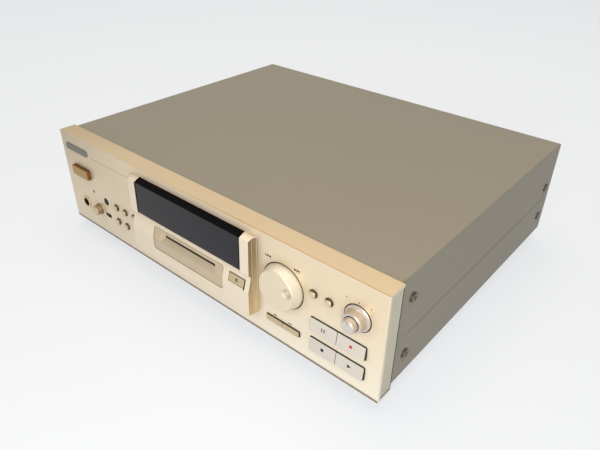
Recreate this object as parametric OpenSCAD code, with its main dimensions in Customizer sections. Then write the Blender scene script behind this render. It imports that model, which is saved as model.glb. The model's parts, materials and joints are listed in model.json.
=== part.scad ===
// Minidisc deck: a full-width hi-fi recorder that loads small cartridge discs through a slot.
// X runs to the right, Y to the back and Z up, from the centre of the deck's footprint on the shelf.
// Inside on_deck(), y is counted back from the panel's front face and z up from the panel's bottom edge.

/* [Front panel] */
// Width of the front panel
panel_w = 440; // [430:1:460]
// Height of the front panel
panel_h = 112; // [109:1:124]
// Depth of the panel's top and bottom flanges
panel_d = 18.6; // [17:0.1:22]
// Thickness of the panel's front plate
plate_t = 3; // [2:0.1:4]
// Thickness of the panel's flanges
flange_t = 2.5; // [2:0.1:3.2]
// Radius along the panel's bottom front edge
panel_edge_r = 4; // [2:0.1:5]
// Thickness of the plastic caps in the panel's ends
end_cap_t = 3; // [2:0.1:5]

/* [Cabinet] */
// Depth from the panel's front face to the cover's rear edge
deck_d = 347.5; // [335:0.5:380]
// Thickness of the steel sheet
sheet_t = 1.2; // [1:0.1:1.5]
// How far the cover's sides stand in from the panel's ends
cover_inset = 2.2; // [1.5:0.1:4]
// How far the cover's top lies below the panel's top edge
cover_drop = 0.7; // [0.4:0.1:1.5]
// Height of the cover's bottom edge above the panel's bottom edge
cover_lift = 3.2; // [3:0.1:5]
// Width of the seam between the panel and the cover
cover_seam = 0.6; // [0.3:0.1:1.2]
// Outer radius of the cover's long bends
bend_r = 1.8; // [1.6:0.1:3]
// Height of the pressed line along the cover's sides
crease_z = 48.5; // [44:0.5:54]
// Height of the lower row of side screws
low_screw_z = 25; // [20:0.5:28]
// Height of the upper front side screws
high_screw_z = 85; // [75:0.5:95]
// Height of the upper rear side screws
rear_high_screw_z = 62; // [58:0.5:80]
// Distance of the front side screws behind the panel's face
front_screw_y = 40; // [34:0.5:46]
// Distance of the rear side screws ahead of the cover's rear edge
rear_screw_y = 14; // [12:0.5:20]
// Diameter of the pressed dish round a side screw
dish_dia = 18; // [14:0.5:20]
// Diameter of a screw's head
screw_head_dia = 9; // [7:0.5:10]
// Height of a foot below the panel's bottom edge
foot_h = 11; // [8:0.5:16]
// Diameter of a foot
foot_dia = 48; // [36:1:56]

/* [Centre block] */
// Width of the centre block at its front face
island_w = 169.6; // [166:0.2:174]
// Radius of the cove where the block's sides meet the panel
cove_r = 3.7; // [2:0.1:4]
// Distance of the block's top below the panel's top edge
island_top = 9; // [8.5:0.5:12]
// Height of the block's flat bottom
island_bottom_z = 19.5; // [16:0.5:24]
// Height of the joint between the display housing and the disc slot housing
island_joint_z = 61; // [60.5:0.5:62]
// How far the disc slot housing stands out of the panel
island_d = 9.3; // [9:0.1:11]
// How far the display housing stands out at its bottom edge
display_d = 8.2; // [8:0.1:9]
// How far the step between the two housings stands out
step_d = 5.6; // [5:0.1:6.5]
// Height of the crease where the slot face starts to lean back
lean_z = 46.5; // [44:0.5:47.5]
// Width of the display window
window_w = 148.2; // [144:0.2:150]
// Height of the window's bottom edge
window_z = 65.8; // [65:0.2:68]

/* [Disc slot] */
// Width of the slot, for a cartridge 72 wide
slot_w = 73.2; // [72.8:0.1:75]
// Height of the slot, for a cartridge 5 thick
slot_h = 5.8; // [5.4:0.1:6.2]
// Height of the slot's centre
slot_z = 52.1; // [51.6:0.1:52.6]
// Width of the slot's escutcheon
escutcheon_w = 101; // [96:0.5:104]
// Height of the escutcheon's bottom edge
escutcheon_z = 33.5; // [30:0.5:36]
// Height of the escutcheon's top edge
escutcheon_top_z = 58.2; // [57.8:0.2:59]

/* [Buttons] */
// Clearance round a button in its opening
button_gap = 0.5; // [0.3:0.05:0.7]
// Travel of a small button
button_travel = 1.2; // [0.8:0.1:1.5]
// Travel of the power button
power_travel = 2.4; // [1.5:0.1:2.6]
// Width of the power button
power_w = 29.5; // [26:0.5:31]
// Height of the power button
power_h = 10.8; // [9:0.2:12]
// How far the power button stands out
power_d = 4; // [3:0.1:5]
// Place of the power button across the left bay, from the block's side (0) to the panel's end (1)
power_share = 0.749; // [0.72:0.005:0.77]
// Height of the power button's centre
power_z = 70; // [66:0.5:74]
// Width of one transport button
transport_w = 27.4; // [25:0.2:28]
// Height of one transport button
transport_h = 13; // [12:0.2:14]
// Place of the transport buttons' centre line across the right bay
transport_share = 0.673; // [0.66:0.005:0.685]
// Height of the upper row of transport buttons
transport_z = 45.5; // [45:0.5:48]
// Pitch between the rows of transport buttons
transport_pitch = 22; // [21:0.2:22]
// Width of one search button
search_w = 18.8; // [16:0.2:20]
// Height of one search button
search_h = 5.5; // [5:0.1:6.5]
// Height of the search buttons' centre
search_z = 23.6; // [22:0.2:25]
// Width of the eject button
eject_w = 19; // [16:0.2:20]
// Height of the eject button
eject_h = 8; // [7:0.2:8.6]
// Distance of the eject button from the deck's centre
eject_x = 68.5; // [67:0.5:70]
// Diameter of a small round button
round_dia = 6.8; // [6:0.1:7.4]
// How far a small round button stands out
round_d = 2.4; // [1.5:0.1:3]
// Step from one small round button to the next, as a share of the bay
round_step = 0.1215; // [0.115:0.0005:0.1225]
// Place of the outermost left round button across the left bay
left_round_share = 0.304; // [0.3:0.001:0.31]
// Height of the left side's upper control row
upper_row_z = 45.5; // [44:0.5:48]
// Height of the left side's lower control row
lower_row_z = 28; // [26:0.5:30]
// Place of the innermost right round button across the right bay
right_round_share = 0.4715; // [0.465:0.0005:0.48]
// Height of the right round buttons
right_round_z = 76.4; // [74:0.2:78]

/* [Knobs] */
// Diameter of the jog dial
jog_dia = 43.4; // [40:0.2:44]
// How far the jog dial stands out
jog_d = 10; // [8:0.5:12]
// Place of the jog dial across the right bay
jog_share = 0.223; // [0.215:0.001:0.235]
// Height of the jog dial's centre
jog_z = 67; // [65:0.5:68]
// Diameter of the level knob's skirt
level_dia = 24; // [22:0.2:25]
// How far the level knob stands out
level_d = 8.8; // [8:0.2:10]
// Diameter of the balance knob
balance_dia = 13; // [11:0.2:14]
// How far the balance knob stands out
balance_d = 14.3; // [13:0.1:16]
// Place of the level knob across the right bay
level_share = 0.802; // [0.79:0.002:0.81]
// Height of the level knob's centre
level_z = 76.3; // [75:0.5:78]
// Diameter of the phones knob
phones_dia = 12; // [10:0.2:13]
// How far the phones knob stands out
phones_d = 6.5; // [5:0.5:8]

/* [Sockets] */
// Height of the phones socket and its knob
phones_z = 29.5; // [28:0.5:31]
// Place of the phones socket across the left bay
phones_share = 0.78; // [0.77:0.005:0.8]
// Place of the phones knob across the left bay
phones_knob_share = 0.586; // [0.58:0.002:0.6]
// Bore of the phones socket, for a 6.35 plug
phones_bore = 6.5; // [6.4:0.05:6.6]
// Place of the sensor window and the timer switch across the left bay
sensor_share = 0.4525; // [0.445:0.0025:0.46]
// Outer diameter of a phono jack
rca_dia = 8.3; // [8.2:0.05:8.4]
// Length of a phono jack outside the rear panel
rca_len = 9.5; // [8:0.5:12]
// Pitch between phono jacks
rca_pitch = 18; // [16:0.5:20]
// Height of the lower row of phono jacks
rca_z = 27; // [26:0.5:32]
// Distance of the phono jacks from the deck's centre
rca_x = 96; // [80:1:120]
// Distance of the optical ports from the deck's centre
optical_x = 38; // [30:1:50]
// Distance of the mains inlet from the panel's left end, seen from the front
inlet_from_end = 55; // [45:1:70]
// Height of the mains inlet
inlet_z = 36; // [30:1:50]

/* [Disc mechanism] */
// Distance of the loaded disc's centre behind the panel's face
disc_y = 60; // [60:0.5:64]
// Length of the cartridge holder
holder_len = 72; // [70:0.5:74]
// How far the holder sinks when a disc is loaded
load_drop = 5; // [4:0.5:5]
// Travel of the slide plate that lowers the holder
slide_travel = 10; // [8:0.5:10]
// Module of the rack and the loading gear
gear_module = 0.8; // [0.8:0.1:0.8]
// Teeth on the loading gear
gear_teeth = 20; // [18:1:20]
// Radius of the first recorded track
track_r = 14.5; // [14:0.1:15]
// Travel of the pickup sled
sled_travel = 16; // [14:0.5:16.5]
// Diameter of a guide rod
rod_dia = 3; // [2.5:0.1:3]
// Distance of the guide rods either side of the disc's centre
rod_y = 14; // [13.8:0.1:14.4]
// Thickness of the mechanism frame's sheet
frame_t = 1.5; // [1.2:0.1:1.6]
// Height of a rubber damper
damper_h = 9; // [8.5:0.5:10]

/* [Electronics] */
// Thickness of a circuit board
board_t = 1.6; // [1.2:0.1:2]
// Distance of the control boards behind the panel's face
board_y = 13; // [12.8:0.1:13.6]
// Height of the main circuit board's standoffs
standoff_h = 7; // [6:0.5:10]
// Width of the main circuit board
main_board_w = 290; // [270:1:300]
// Depth of the main circuit board
main_board_d = 200; // [180:1:205]
// Width of the transformer's core
core_w = 66; // [57:1:76]

/* [Fits] */
// Running clearance of a shaft or pin, on the radius
running_gap = 0.05; // [0.03:0.01:0.08]
// Clearance between parts that must not rub
free_gap = 0.3; // [0.2:0.05:0.4]

/* [Hidden] */
$fn = 48;
// Cuts run this far past the faces they open
eps = 1;
// Parts of one solid run this far into each other
lap = 0.1;
// A slot's straight sides lie this far inside its round ends' tangents
slot_ease = 0.01;

// Cabinet
half_w = panel_w / 2;
base_t = 1.6;
base_wall_h = 34;
rear_face_y = deck_d - 0.8;
rear_in_y = rear_face_y - sheet_t;
front_y = (balance_d - rca_len - rear_face_y) / 2;
cover_x = half_w - cover_inset;
cover_top = panel_h - cover_drop;
wall_x = cover_x - sheet_t - free_gap;
roof_z = cover_top - sheet_t - free_gap;
floor_z = cover_lift + base_t;
subpanel_back = panel_d + sheet_t;
side_flange_d = 36;
rear_flange_d = 26;
foot_x = half_w - 52;
foot_ys = [48, deck_d - 48];
crease_r = 2.2;
crease_t = 0.45;
dish_t = 0.7;
screw_shank_dia = 3.8;
screw_head_h = 2.1;
screw_len = 8;
screw_hole_r = screw_shank_dia / 2 + running_gap;
rear_screw_xs = [-half_w + 20, 0, half_w - 20];
rear_lip_h = 13;
rear_screw_z = cover_top - 8.5;
stud_dia = 5;
end_inset = 0.3;

// Centre block: how far its faces stand out at a given height
function slot_face_d(z) =
    z < lean_z ? island_d : island_d - (z - lean_z) * (island_d - step_d) / (island_joint_z - 1 - lean_z);
island_top_z = panel_h - island_top;
display_front_top = [display_d - 0.9, island_top_z - 3];
window_cut = [window_w / 2, window_z];
window_fit = 0.15;
window_recess = 0.4;
window_wall = 2.5;
tube_w = window_w - 10;
tube_z0 = window_z + 2.8;
tube_z1 = island_top_z - 8;

// Disc slot
slot_z0 = slot_z - slot_h / 2;
slot_z1 = slot_z + slot_h / 2;
mouth_d = 3.9;
escutcheon_recess = 0.3;
door_axis_z = slot_z1 + 1.4;
door_axis_d = 2.6;
door_barrel_r = 0.9;
door_t = 1.2;
door_w = slot_w + 1;
door_pin_r = 0.7;
door_pin_len = 1.5;

// Controls
block_side = island_w / 2 + cove_r;
bay_w = half_w - block_side;
jog_cx = block_side + jog_share * bay_w;
level_cx = block_side + level_share * bay_w;
transport_cx = block_side + transport_share * bay_w;
power_cx = -block_side - power_share * bay_w;
sensor_cx = -block_side - sensor_share * bay_w;
phones_cx = -block_side - phones_share * bay_w;
phones_knob_cx = -block_side - phones_knob_share * bay_w;
lens_share = 0.631;
lens_cx = -block_side - lens_share * bay_w;
badge_share = 0.7795;
badge_cx = -block_side - badge_share * bay_w;
transport_zs = [transport_z, transport_z - transport_pitch];
lip = 1.2;
stop_t = 1;
stop_y = plate_t + free_gap;
stem_dia = 3;
switch_size = 6;
switch_y = board_y - 3.9;
round_buttons = concat(
    [for (i = [0:2]) [-block_side - (left_round_share - i * round_step) * bay_w, upper_row_z]],
    [for (i = [0:1]) [-block_side - (left_round_share - i * round_step) * bay_w, lower_row_z]],
    [for (i = [0:1]) [block_side + (right_round_share + i * round_step) * bay_w, right_round_z]]
);
round_hole_dia = round_dia + 2 * button_gap;
timer_travel = 3;
timer_nub = [2.6, 3.2];
timer_slot = [timer_nub[0] + 2 * timer_travel + 1.4, timer_nub[1] + 0.8];
jog_gap = 0.5;
jog_stem_r = 3;
level_gap = 0.35;
level_stem_r = 4;
balance_stem_r = 2;
phones_stem_r = 3;
knob_gap = 0.4;
phones_body = [16, 31];
sensor_dia = 9;
lens_dia = 3.6;
lens_z = 50;
badge = [42, 7.5, 0.8];
badge_z = panel_h - 16;
display_board_top = panel_h - flange_t - 2.5;
board_end = half_w - 12;
board_in = block_side + 3.5;
phones_board_x = phones_cx + phones_body[0] / 2 + 1;
phones_board_top = phones_z + phones_body[0] / 2;
power_board_z = phones_board_top + 1;
mid_board_w = island_w - 2;
mid_board_z0 = island_joint_z + 1;
board_z0 = flange_t + 3.5;
eject_tab_w = 28;
slot_clear = [slot_w / 2 + 4.4, 7];
bay_clear = [slot_w / 2 + 8, 14];

// Disc mechanism
holder_w = slot_w - 0.4;
holder_h = 5.4;
holder_t = 1;
holder_lip = 6;
holder_y0 = disc_y - holder_len / 2;
holder_y1 = disc_y + holder_len / 2;
holder_x = holder_w / 2 + holder_t;
holder_z0 = slot_z - holder_h / 2 - holder_t;
holder_z1 = slot_z + holder_h / 2 + holder_t;
pin_r = 1.2;
pin_gap = 0.1;
pin_dy = 22;
frame_x = holder_x + 0.6;
frame_z = 33;
frame_top = 60;
frame_reach = [34, 40];
frame_y0 = disc_y - frame_reach[0];
frame_y1 = disc_y + frame_reach[1];
frame_right = 84;
tower_reach = [30, 32];
tower_y = [disc_y - tower_reach[0], disc_y + tower_reach[1]];
notch_dy = 18;
plate_x = frame_x + frame_t + free_gap;
slide_plate_t = 1.2;
slide_lead = 6;
slide_y0 = tower_y[0] - slide_lead;
slide_y1 = slide_y0 + tower_y[1] - tower_y[0] + 2;
slide_z1 = slot_z + 4;
rack_pitch_z = 39.2;
rack_root_z = rack_pitch_z + 1.25 * gear_module;
gear_r = gear_module * gear_teeth / 2;
gear_z = rack_pitch_z - gear_r;
gear_y = disc_y;
gear_shaft_r = 1.5;
gear_shaft_len = 12;
backlash = 0.12;
guide_z = 43.5;
guide_reach = [10, 6];
guide_ys = [disc_y - guide_reach[0], disc_y + guide_reach[1]];
damper_dia = 10;
damper_xs = [-30, 70];
damper_reach = [26, 32];
damper_ys = [disc_y - damper_reach[0], disc_y + damper_reach[1]];
damper_z0 = frame_z - damper_h;
gearbox = [16, 16];
rod_z = 40;
rod_r = rod_dia / 2;
lug_t = 2;
lug_top = 43;
sled_z0 = 36.5;
sled_z1 = 42.6;
sled_dy = notch_dy - 0.5;
sled_near = 6;
sled_far = 30;
lug_xs = [4, track_r + sled_far + sled_travel + 3.5];
screw_y = disc_y + 9;
screw_r = 1.5;
motor_r = 6.5;
motor_flat = rod_z - frame_z - frame_t;
motor_len = 15;
spindle_r = 1;
spindle_can_r = 6.2;
turntable_z = 45.6;
head_pivot_x = track_r + 27;
head_pivot_z = 59;
head_arm_w = 4.4;

// Rear sockets and electronics
inlet_hole = [30, 20];
optical_port = [9, 9];
optical_pitch = 16;
board_top = floor_z + standoff_h + board_t;
main_x0 = wall_x - main_board_w - 4;
main_y0 = rear_in_y - 4 - main_board_d;
main_screws = [for (dx = [8, main_board_w - 8], dy = [8, main_board_d - 8]) [main_x0 + dx, main_y0 + dy]];
inlet_x = half_w - inlet_from_end;
transformer_from_end = 62;
transformer_x = transformer_from_end - half_w;
transformer_setback = 80.5;
transformer_y = rear_in_y - transformer_setback;
core_d = 34;
core_h = 56;
// Each capacitor's place on the board, radius and height, and each chip's place, width and depth
capacitors = concat(
    [for (x = [24, 54]) [x, 150, 11, 34]],
    [for (x = [24, 42, 60, 78, 96]) [x, 110, 5, 16]],
    [for (x = [190, 212, 234], y = [120, 142]) [x, y, 4, 11]]
);
chips = [[110, 60, 14, 20], [150, 60, 22, 22], [190, 60, 28, 18], [240, 60, 18, 18]];
heat_sink_x = 95;
heat_sink_h = 42;
heat_sink_setback = 40;
fin_pitch = 7;
fin_t = 2;
fin_d = 20;

// ---- Helpers ----

// Puts its children in the deck's own coordinates
module on_deck() {
    translate([0, front_y, foot_h])
        children();
}

// Runs a profile drawn in (y, z) along X
module along_x(x0, x1) {
    translate([x0, 0, 0])
        rotate([90, 0, 90])
            linear_extrude(x1 - x0)
                children();
}

// Runs an outline drawn in (x, z) along Y
module along_y(y0, y1) {
    translate([0, y1, 0])
        rotate([90, 0, 0])
            linear_extrude(y1 - y0)
                children();
}

// Runs a plan drawn in (x, y) along Z
module along_z(z0, z1) {
    translate([0, 0, z0])
        linear_extrude(z1 - z0)
            children();
}

// Turns a profile drawn in (radius, distance out of the panel) about an axis square to the panel
module turned_out(x, z) {
    translate([x, 0, z])
        rotate([90, 0, 0])
            rotate_extrude()
                children();
}

// A round bar along Y
module bar_y(x, z, r, y0, y1) {
    along_y(y0, y1)
        translate([x, z])
            circle(r);
}

// A round bar along X
module bar_x(y, z, r, x0, x1) {
    along_x(x0, x1)
        translate([y, z])
            circle(r);
}

// A rectangle with rounded corners about its centre
module rounded_rect(w, h, r) {
    square([w - 2 * r, h], center = true);
    square([w, h - 2 * r], center = true);
    for (sx = [-1, 1], sy = [-1, 1])
        translate([sx * (w / 2 - r), sy * (h / 2 - r)])
            circle(r);
}

// A slot with round ends between two points of a plane
module round_slot(a, b, r) {
    span = b - a;
    half = r - slot_ease;
    for (p = [a, b])
        translate(p)
            circle(r);
    translate(a)
        rotate(atan2(span[1], span[0]))
            translate([0, -half])
                square([norm(span), 2 * half]);
}

// A box between two corners
module block(a, b) {
    translate(a)
        cube(b - a);
}

// ---- Front panel ----

// Cross-section of the aluminium extrusion, in (y, z)
module fascia_profile() {
    difference() {
        square([panel_d, panel_h]);
        difference() {
            square(panel_edge_r);
            translate([panel_edge_r, panel_edge_r])
                circle(panel_edge_r);
        }
        translate([plate_t, flange_t])
            square([panel_d, panel_h - 2 * flange_t]);
    }
}

// Openings of the front plate, in (x, z)
module fascia_openings() {
    translate([power_cx, power_z])
        rounded_rect(power_w + 2 * button_gap, power_h + 2 * button_gap, 1);
    for (z = transport_zs)
        translate([transport_cx, z])
            rounded_rect(2 * transport_w + 3 * button_gap, transport_h + 2 * button_gap, 0.6);
    translate([jog_cx, search_z])
        rounded_rect(2 * search_w + 3 * button_gap, search_h + 2 * button_gap, 0.6);
    for (p = round_buttons)
        translate(p)
            circle(round_hole_dia / 2);
    translate([sensor_cx, lower_row_z])
        rounded_rect(timer_slot[0], timer_slot[1], 0.5);
    translate([sensor_cx, upper_row_z])
        circle(sensor_dia / 2);
    translate([lens_cx, lens_z])
        circle(lens_dia / 2);
    translate([phones_cx, phones_z])
        circle(5.6);
    translate([phones_knob_cx, phones_z])
        circle(phones_dia / 2 + knob_gap);
    translate([jog_cx, jog_z])
        circle(jog_dia / 2 + jog_gap);
    translate([level_cx, level_z])
        circle(level_dia / 2 + level_gap);
    translate([0, slot_z])
        square([2 * slot_clear[0], 2 * slot_clear[1]], center = true);
    translate([0, (tube_z0 + tube_z1) / 2])
        rounded_rect(tube_w + 2, tube_z1 - tube_z0 + 2, 1);
    translate([eject_x, slot_z])
        square([eject_w + 2 * (lip + button_gap + free_gap), eject_h + 2 * (lip + free_gap)], center = true);
}

// Places of the studs that carry the control boards, in (x, z)
board_studs = concat(
    [for (x = [4 - board_end, -board_in - 4], z = [lens_z + 8.5, display_board_top - 4]) [x, z]],
    [for (x = [phones_board_x + 4, -board_in - 4], z = [board_z0 + 4, phones_board_top - 4]) [x, z]],
    [for (x = [board_in + 4, board_end - 4], z = [board_z0 + 4, display_board_top - 4]) [x, z]],
    [for (sx = [-1, 1], z = [mid_board_z0 + 3.2, display_board_top - 3.5]) [sx * (mid_board_w / 2 - 4.5), z]]
);

module front_fascia() {
    color("#dcc39a")
        on_deck()
            difference() {
                union() {
                    along_x(-half_w, half_w)
                        fascia_profile();
                    for (p = board_studs)
                        bar_y(p[0], p[1], stud_dia / 2, plate_t - 0.5, board_y);
                }
                along_y(-eps, plate_t + eps)
                    fascia_openings();
            }
}

module end_caps() {
    color("#c9b690")
        on_deck()
            for (side = [-1, 1])
                translate([side * (half_w - end_inset - end_cap_t / 2), 0, 0])
                    difference() {
                        along_x(-end_cap_t / 2, end_cap_t / 2)
                            translate([plate_t, flange_t])
                                square([panel_d - plate_t, panel_h - 2 * flange_t]);
                        translate([-side * end_cap_t / 2, 0, 0])
                            along_x(-1, 1)
                                translate([plate_t + 3, flange_t + 4])
                                    square([panel_d - plate_t - 5, panel_h - 2 * flange_t - 8]);
                    }
}

module badge_plate() {
    color("#55524c")
        on_deck()
            along_y(-badge[2], 0)
                translate([badge_cx, badge_z])
                    rounded_rect(badge[0], badge[1], badge[1] / 2 - 0.01);
}

// ---- Cabinet ----

// Sheet walls along the inside of both sides of the cover
module side_walls(y0, y1, z0, z1) {
    for (x = [-wall_x, wall_x - sheet_t])
        block([x, y0, z0], [x + sheet_t, y1, z1]);
}

// Steel plate behind the fascia, with folded side flanges that take the cover's front screws
module front_subpanel() {
    color("#b9bcbd")
        on_deck()
            difference() {
                union() {
                    block([-wall_x, panel_d, floor_z], [wall_x, subpanel_back, roof_z]);
                    side_walls(subpanel_back - lap, subpanel_back + side_flange_d,
                               base_wall_h + free_gap, roof_z);
                    block([-wall_x + 14, subpanel_back - lap, roof_z - sheet_t],
                          [wall_x - 14, subpanel_back + 9, roof_z]);
                }
                along_y(panel_d - eps, subpanel_back + eps) {
                    translate([0, slot_z])
                        square(2 * bay_clear, center = true);
                    translate([phones_cx, phones_z])
                        square(phones_body[0] + 2, center = true);
                    for (side = [-1, 1])
                        translate([side * (board_in - 10), board_z0 + 22])
                            rounded_rect(16, 24, 3);
                }
                side_screw_holes(front_screw_y, high_screw_z, screw_hole_r);
            }
}

// Screw clearance through both sides of the cabinet
module side_screw_holes(y, z, r) {
    for (side = [-1, 1])
        bar_x(y, z, r, side * cover_x - 6, side * cover_x + 6);
}

module base_chassis() {
    color("#a9acac")
        on_deck()
            difference() {
                union() {
                    block([-wall_x, panel_d, cover_lift], [wall_x, rear_face_y, floor_z]);
                    side_walls(subpanel_back + free_gap, rear_in_y - free_gap, floor_z - lap, base_wall_h);
                    for (p = main_screws)
                        translate([p[0], p[1], floor_z - lap])
                            cylinder(r = 4, h = standoff_h + lap);
                    for (y = [disc_y + 58, deck_d - 28])
                        block([-wall_x + 8, y, floor_z - lap], [main_x0 - 6, y + 5, floor_z + 2]);
                }
                for (p = main_screws)
                    translate([p[0], p[1], cover_lift - eps])
                        cylinder(r = 1.5, h = standoff_h + base_t + 2 * eps);
                for (x = [-foot_x, foot_x], y = foot_ys)
                    translate([x, y, cover_lift - eps])
                        cylinder(r = 2.1, h = base_t + 2 * eps);
                base_vents();
                for (y = [front_screw_y, deck_d - rear_screw_y])
                    side_screw_holes(y, low_screw_z, screw_hole_r);
            }
}

// Rows of air slots through the floor beside the transformer and under the main board
module base_vents() {
    for (i = [0:7], x = [-40, 60])
        translate([x, main_y0 + 30 + i * 18, cover_lift - eps])
            linear_extrude(base_t + 2 * eps)
                rounded_rect(52, 4, 1.9);
}

module rear_panel() {
    color("#9d9a92")
        on_deck()
            difference() {
                union() {
                    block([-wall_x, rear_in_y, floor_z], [wall_x, rear_face_y, roof_z]);
                    side_walls(rear_in_y - rear_flange_d, rear_in_y + lap, base_wall_h + free_gap, roof_z);
                    block([-wall_x + 14, rear_in_y - 12, roof_z - sheet_t],
                          [wall_x - 14, rear_in_y + lap, roof_z]);
                }
                along_y(rear_in_y - eps, rear_face_y + eps) {
                    for (p = rca_places)
                        translate(p)
                            circle(rca_dia / 2 + free_gap);
                    for (x = optical_xs)
                        translate([x, rca_z])
                            square([optical_port[0] + 0.4, optical_port[1] + 0.4], center = true);
                    translate([-inlet_x, inlet_z])
                        square([inlet_hole[0] - 4.6, inlet_hole[1] - 4.6], center = true);
                    for (x = rear_screw_xs)
                        translate([x, rear_screw_z])
                            circle(screw_hole_r);
                }
                side_screw_holes(deck_d - rear_screw_y, rear_high_screw_z, screw_hole_r);
            }
}

// Outline of the folded cover, in (x, z), drawn solid
module cover_outline(inset) {
    r = bend_r - min(inset, bend_r - 0.2);
    w = cover_x - inset;
    difference() {
        translate([-w, cover_lift - (inset > 0 ? eps : 0)])
            square([2 * w, cover_top - inset - cover_lift + (inset > 0 ? eps : 0)]);
        for (side = [-1, 1])
            translate([side * (w - r), cover_top - inset - r])
                difference() {
                    translate([side > 0 ? 0 : -r - eps, 0])
                        square(r + eps);
                    circle(r);
                }
    }
}

module top_cover() {
    y0 = panel_d + cover_seam;
    color("#958a76")
        on_deck()
            difference() {
                union() {
                    along_y(y0, deck_d)
                        difference() {
                            cover_outline(0);
                            cover_outline(sheet_t);
                        }
                    block([-cover_x + sheet_t - lap, rear_face_y + free_gap, cover_top - rear_lip_h],
                          [cover_x - sheet_t + lap, deck_d, cover_top - sheet_t + lap]);
                }
                for (side = [-1, 1])
                    cover_crease(side);
                for (p = side_screws)
                    cover_dish(p);
                for (x = rear_screw_xs)
                    bar_y(x, rear_screw_z, screw_shank_dia / 2 + free_gap, rear_face_y - eps, deck_d + eps);
            }
}

// Places of the side screws: side, y and z
side_screws = [for (side = [-1, 1], p = [
    [front_screw_y, high_screw_z], [front_screw_y, low_screw_z],
    [deck_d - rear_screw_y, rear_high_screw_z], [deck_d - rear_screw_y, low_screw_z]
]) [side, p[0], p[1]]];

// The pressed line along one side of the cover
module cover_crease(side) {
    translate([side * (cover_x + crease_r - crease_t), panel_d + 14, crease_z])
        rotate([-90, 0, 0])
            cylinder(r = crease_r, h = deck_d - panel_d - 24);
}

// The shallow dish and the hole round a side screw
module cover_dish(p) {
    translate([p[0] * cover_x, p[1], p[2]])
        rotate([0, p[0] * 90, 0])
            translate([0, 0, -dish_t]) {
                cylinder(r1 = screw_head_dia / 2 + 1, r2 = dish_dia / 2 + 1, h = dish_t + 0.3);
                translate([0, 0, -2])
                    cylinder(r = screw_shank_dia / 2 + free_gap, h = 3);
            }
}

// A pan-head screw whose head rests on z = 0 and whose shank points down
module case_screw() {
    shank = screw_shank_dia / 2;
    head = screw_head_dia / 2;
    difference() {
        rotate_extrude()
            polygon([
                [0, -screw_len], [shank - 0.5, -screw_len], [shank, 1 - screw_len], [shank, 0],
                [head, 0], [head, 0.6 * screw_head_h], [head - 0.9, screw_head_h], [0, screw_head_h]
            ]);
        for (a = [0, 90])
            rotate(a)
                translate([-2.4, -0.5, screw_head_h - 1.1])
                    cube([4.8, 1, 2]);
    }
}

module case_screws() {
    color("#8d8470")
        on_deck() {
            for (p = side_screws)
                translate([p[0] * (cover_x - dish_t), p[1], p[2]])
                    rotate([0, p[0] * 90, 0])
                        case_screw();
            for (x = rear_screw_xs)
                translate([x, deck_d, rear_screw_z])
                    rotate([-90, 0, 0])
                        case_screw();
        }
}

module feet() {
    r = foot_dia / 2;
    low = -foot_h;
    top = cover_lift;
    color("#2c2b29")
        on_deck()
            for (x = [-foot_x, foot_x], y = foot_ys)
                translate([x, y, 0])
                    rotate_extrude()
                        polygon([
                            [0, top - 5], [8, top - 5], [8, low + 5], [r - 14, low + 5], [r - 14, low],
                            [r - 5, low], [r - 4, low + 1], [r - 1, low + 1], [r, low + 2.2], [r - 1, top],
                            [2, top], [2, top + base_t + 1], [0, top + base_t + 1]
                        ]);
}

// ---- Centre block ----

// Plan of the block, in (x, y), with a cove along each side
module island_plan() {
    difference() {
        union() {
            translate([-island_w / 2 - cove_r, -cove_r])
                square([island_w + 2 * cove_r, cove_r]);
            translate([-island_w / 2, -island_d - eps])
                square([island_w, island_d + eps]);
        }
        for (side = [-1, 1])
            translate([side * (island_w / 2 + cove_r), -cove_r])
                circle(cove_r - 0.6);
    }
}

// Side view of the display housing, in (y, z)
module display_profile() {
    polygon([
        [0, island_joint_z], [-step_d, island_joint_z], [-step_d, island_joint_z + 1],
        [-display_d, window_z - 1], [-display_front_top[0], display_front_top[1]], [0, island_top_z]
    ]);
}

module display_housing() {
    color("#dcc8a4")
        on_deck()
            difference() {
                intersection() {
                    along_z(island_joint_z, island_top_z)
                        island_plan();
                    along_x(-half_w, half_w)
                        display_profile();
                }
                block([-window_cut[0], -island_d, window_cut[1]], [window_cut[0], eps, island_top_z + eps]);
            }
}

// Side view of the smoked window, in (y, z), shrunk all round by an inset
module window_profile(inset) {
    d0 = display_d - window_recess - inset;
    d1 = display_front_top[0] - window_recess - 0.6 * inset;
    z1 = display_front_top[1] - 0.4 - inset;
    polygon([
        [inset > 0 ? eps : 0, window_z + window_fit + inset], [-d0, window_z + window_fit + inset],
        [-d1, z1], [inset > 0 ? eps : 0, island_top_z - 0.2 - 1.3 * inset]
    ]);
}

module display_window() {
    w = window_w / 2 - window_fit;
    color("#1b1a1d")
        on_deck()
            difference() {
                along_x(-w, w)
                    window_profile(0);
                along_x(window_wall - w, w - window_wall)
                    window_profile(window_wall);
            }
}

// Side view of the disc slot housing, in (y, z)
module slot_profile(recess) {
    polygon([
        [0, island_bottom_z - eps], [recess - island_d, island_bottom_z - eps], [recess - island_d, lean_z],
        [recess - step_d, island_joint_z - 1], [recess - step_d, island_joint_z], [0, island_joint_z]
    ]);
}

// Front outline of the disc slot housing, in (x, z), with rounded bottom corners
module slot_outline() {
    r = 6;
    h = island_joint_z - island_bottom_z;
    w = island_w + 2 * cove_r;
    translate([0, island_bottom_z + h / 2 + r])
        rounded_rect(w, h + 2 * r, r);
}

// Outline of the escutcheon, in (x, z), grown all round by a gap
module escutcheon_outline(gap) {
    h = escutcheon_top_z - escutcheon_z + 2 * gap;
    translate([0, (escutcheon_z + escutcheon_top_z) / 2])
        rounded_rect(escutcheon_w + 2 * gap, h, 2.5);
}

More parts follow.
